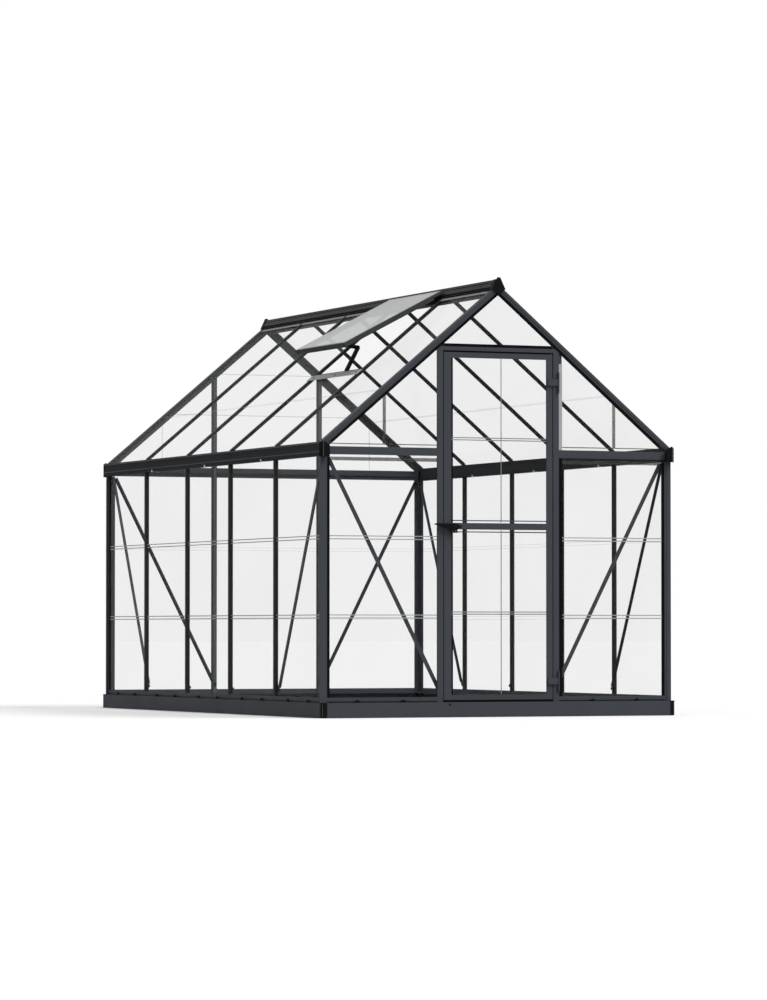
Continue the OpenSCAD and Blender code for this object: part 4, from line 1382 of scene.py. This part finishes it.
@dataclass
class VentFittings(Fittings):
    """Skirt, stay and flashing of the open roof vent on the left slope."""

    hinge_down: float = 21 * MM
    hinge_up: float = 22 * MM
    open_deg: float = 12.5
    vent_y: Span = (-0.921, -0.291)
    vent_len: float = 586 * MM
    under: float = 4 * MM
    skirt_h: float = 10 * MM
    skirt_t: float = 6 * MM
    skirt_from: float = 60 * MM
    skirt_rounding: float = 1 * MM
    stay_x: float = -0.4543
    foot: Span = (-0.711, 1.6845)
    knee: Span = (-0.857, 1.7895)
    upper_end: Span = (-0.541, 1.798)
    arm_half: float = 9 * MM
    arm_side: float = 8.5 * MM
    arm_rounding: float = 3 * MM
    flashing: Span = (600 * MM, 640 * MM)
    flashing_y: Span = (-0.93, -0.282)
    flashing_up: Span = (2 * MM, 3.2 * MM)
    bolts_y: tuple[float, ...] = (-0.89, -0.62, -0.34)
    pivot: Fasteners = Fasteners(head_r=5 * MM, head_h=2.6 * MM)
    bolt: Fasteners = Fasteners(head_r=6 * MM, head_h=3 * MM)

    def skirt(self) -> Iterator[Box]:
        """Hang a skirt under the vent's lower bar and its two side bars.

        Yields:
            The skirt's three sides.
        """
        hinge = Matrix.Translation((self.hinge_down, 0.0, self.hinge_up))
        lift = Matrix.Rotation(math.radians(-self.open_deg), 4, "Y")
        place = self.house.slope(-1) @ hinge @ lift
        near, far = self.vent_y
        height = (-self.under - self.skirt_h, -self.under)
        end = self.vent_len - 2 * self.skirt_t
        yield (end, self.vent_len), self.vent_y, height, place
        for width in ((near, near + self.skirt_t), (far - self.skirt_t, far)):
            yield (self.skirt_from, end), width, height, place

    def stay(self) -> None:
        """Sleeve both arms of the stay, and put a pivot's head at each end of the lower one."""
        foot = (self.stay_x, *self.foot)
        knee = (self.stay_x, *self.knee)
        upper = (self.upper_end[0], self.knee[0], self.upper_end[1])
        sleeves = Piece("stay_sleeves", NYLON, Slot.PLASTIC, rounding=self.arm_rounding)
        for start, end, side in ((foot, knee, (1, 0, 0)), (knee, upper, (0, 1, 0))):
            length = (Vector(end) - Vector(start)).length
            run = (-self.arm_half / 2, length + self.arm_half / 2)
            frame = between(start, end, side)
            sleeves.bar(run, about(0.0, self.arm_side), about(0.0, self.arm_half), frame)
        sleeves.finish_piece()
        outwards = Matrix.Rotation(math.radians(-90.0), 4, "Z")
        out = Vector((self.arm_side, 0, 0))
        places = [Matrix.Translation(Vector(point) - out) @ outwards for point in (foot, knee)]
        pivots = Piece("stay_pivots", BOLT_STEEL, Slot.PLASTIC)
        self.add_stamps(pivots, self.pivot.pan_screw(), places)

    def sill_flashing(self) -> None:
        """Lay a pale flashing over the sill's lower edge, held by three bolts."""
        slope = self.house.slope(-1)
        plate = (self.flashing, self.flashing_y, self.flashing_up, slope)
        self.add_bars(Piece("sill_flashing", MILL_METAL_AND_HIGHLIGHT, Slot.FRAME), [plate])
        middle, top = sum(self.flashing) / 2, self.flashing_up[1]
        upright = Matrix.Rotation(math.radians(-90.0), 4, "X")
        places = [slope @ Matrix.Translation((middle, y, top)) @ upright for y in self.bolts_y]
        self.add_stamps(Piece("sill_bolts", BOLT_STEEL, Slot.FRAME), self.bolt.pan_screw(), places)

    def build(self) -> None:
        """Model and dress the skirt, the stay's sleeves and pivots, and the flashing."""
        # The skirt takes the roof bars' coat, which is painted shade.
        skirt = Piece("vent_skirt", ROOF_BAR_SHADE_COAT, Slot.FRAME, rounding=self.skirt_rounding)
        self.add_bars(skirt, self.skirt())
        self.stay()
        self.sill_flashing()


@dataclass
class Studio:
    """White floor, soft light and the camera at the photograph's place."""

    floor_half: float = 120.0
    floor_gap: float = 1.0 * MM
    camera_at: tuple[float, float, float] = (-8.6393, -20.3853, 0.4148)
    yaw_deg: float = 23.0755
    pitch_deg: float = 1.7051
    focal_share: float = 4.3510
    sensor_mm: float = 36.0
    clip_end: float = 500.0
    sky_level: float = 0.6
    sun_level: float = 2.95
    sun_from: tuple[float, float, float] = (0.46, -0.38, 0.8)
    sun_angle_deg: float = 32.0
    paper: str = "#dcdcdc"
    paper_glow: float = 0.06
    bounce: str = "#8f8f8f"

    def build(self) -> None:
        """Set up the view, the world, the lamp, the floor and the camera."""
        bpy.context.scene.view_settings.view_transform = "Standard"
        self.make_world()
        self.make_floor()
        self.make_sun()
        self.make_camera()

    def seen(self, tree: bpy.types.NodeTree) -> bpy.types.NodeSocket:
        """Tell rays that see a surface from rays that only carry its light.

        Args:
            tree: Node tree of the world or of the floor.

        Returns:
            An output that is 1 for camera, glossy and transmission rays.
        """
        rays = add_node(tree, "ShaderNodeLightPath").outputs
        seen = rays["Is Camera Ray"]
        for kind in ("Is Glossy Ray", "Is Transmission Ray"):
            pair = {0: seen, 1: rays[kind]}
            seen = add_node(tree, "ShaderNodeMath", pair, operation="MAXIMUM").outputs["Value"]
        return seen

    def make_world(self) -> None:
        """White where it is seen or mirrored, plain grey where it only lights."""
        world = bpy.data.worlds.new("studio_world")
        world.use_nodes = True
        bpy.context.scene.world = world
        tree = world.node_tree
        tree.nodes.clear()
        white = linear(WHITE)
        light, shown = (
            add_node(tree, "ShaderNodeBackground", {"Color": white, "Strength": strength})
            for strength in (self.sky_level, 1.0)
        )
        parts = {0: self.seen(tree), 1: light.outputs[0], 2: shown.outputs[0]}
        mix = add_node(tree, "ShaderNodeMixShader", parts)
        add_node(tree, "ShaderNodeOutputWorld", {"Surface": mix.outputs["Shader"]})

    def make_floor(self) -> None:
        """A wide white floor that keeps the house's shadow and gives back little light."""
        mesh = bmesh.new()
        level = Matrix.Translation((0, 0, -self.floor_gap))
        bmesh.ops.create_grid(mesh, x_segments=1, y_segments=1, size=self.floor_half, matrix=level)
        data = bpy.data.meshes.new("studio_floor")
        mesh.to_mesh(data)
        mesh.free()
        floor = link_object("studio_floor", data)
        material, tree = blank_material("matt_white_paper")
        bounce = add_node(tree, "ShaderNodeBsdfDiffuse", {"Color": linear(self.bounce)})
        paper = add_node(tree, "ShaderNodeBsdfDiffuse", {"Color": linear(self.paper)})
        shine = {"Color": linear(WHITE), "Strength": self.paper_glow}
        glow = add_node(tree, "ShaderNodeEmission", shine)
        lit = {0: paper.outputs["BSDF"], 1: glow.outputs["Emission"]}
        shown = add_node(tree, "ShaderNodeAddShader", lit)
        parts = {0: self.seen(tree), 1: bounce.outputs["BSDF"], 2: shown.outputs["Shader"]}
        mix = add_node(tree, "ShaderNodeMixShader", parts)
        add_node(tree, "ShaderNodeOutputMaterial", {"Surface": mix.outputs["Shader"]})
        data.materials.append(material)

    def make_sun(self) -> None:
        """Add one broad, soft lamp from the front right, high up."""
        lamp = bpy.data.lights.new("soft_sun", "SUN")
        lamp.energy = self.sun_level
        lamp.angle = math.radians(self.sun_angle_deg)
        holder = link_object("soft_sun", lamp)
        aim = -Vector(self.sun_from)
        holder.rotation_euler = aim.to_track_quat("-Z", "Y").to_euler()

    def make_camera(self) -> None:
        """Put the camera where the photograph was taken from."""
        data = bpy.data.cameras.new("photo_camera")
        data.sensor_fit = "VERTICAL"
        data.sensor_height = self.sensor_mm
        data.lens = self.focal_share * self.sensor_mm
        data.clip_end = self.clip_end
        camera = link_object("photo_camera", data)
        camera.location = self.camera_at
        camera.rotation_euler = (
            math.radians(90.0 + self.pitch_deg), 0.0, math.radians(-self.yaw_deg)
        )
        bpy.context.scene.camera = camera


FITTINGS: tuple[type[Fittings], ...] = (
    CornerTops,
    RailCaps,
    SheetRibs,
    Gaskets,
    BraceRibs,
    WallBolts,
    GutterFittings,
    RidgeFittings,
    DoorFittings,
    VentFittings,
)


def main() -> None:
    """Load the frame, dress it, add the fittings and set up the studio."""
    logging.basicConfig(level=logging.INFO, format="%(name)s: %(message)s")
    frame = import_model()
    Studio().build()
    dress(frame)
    house = HouseSizes.read()
    for group in FITTINGS:
        group(house).build()


if __name__ == "__main__":
    main()
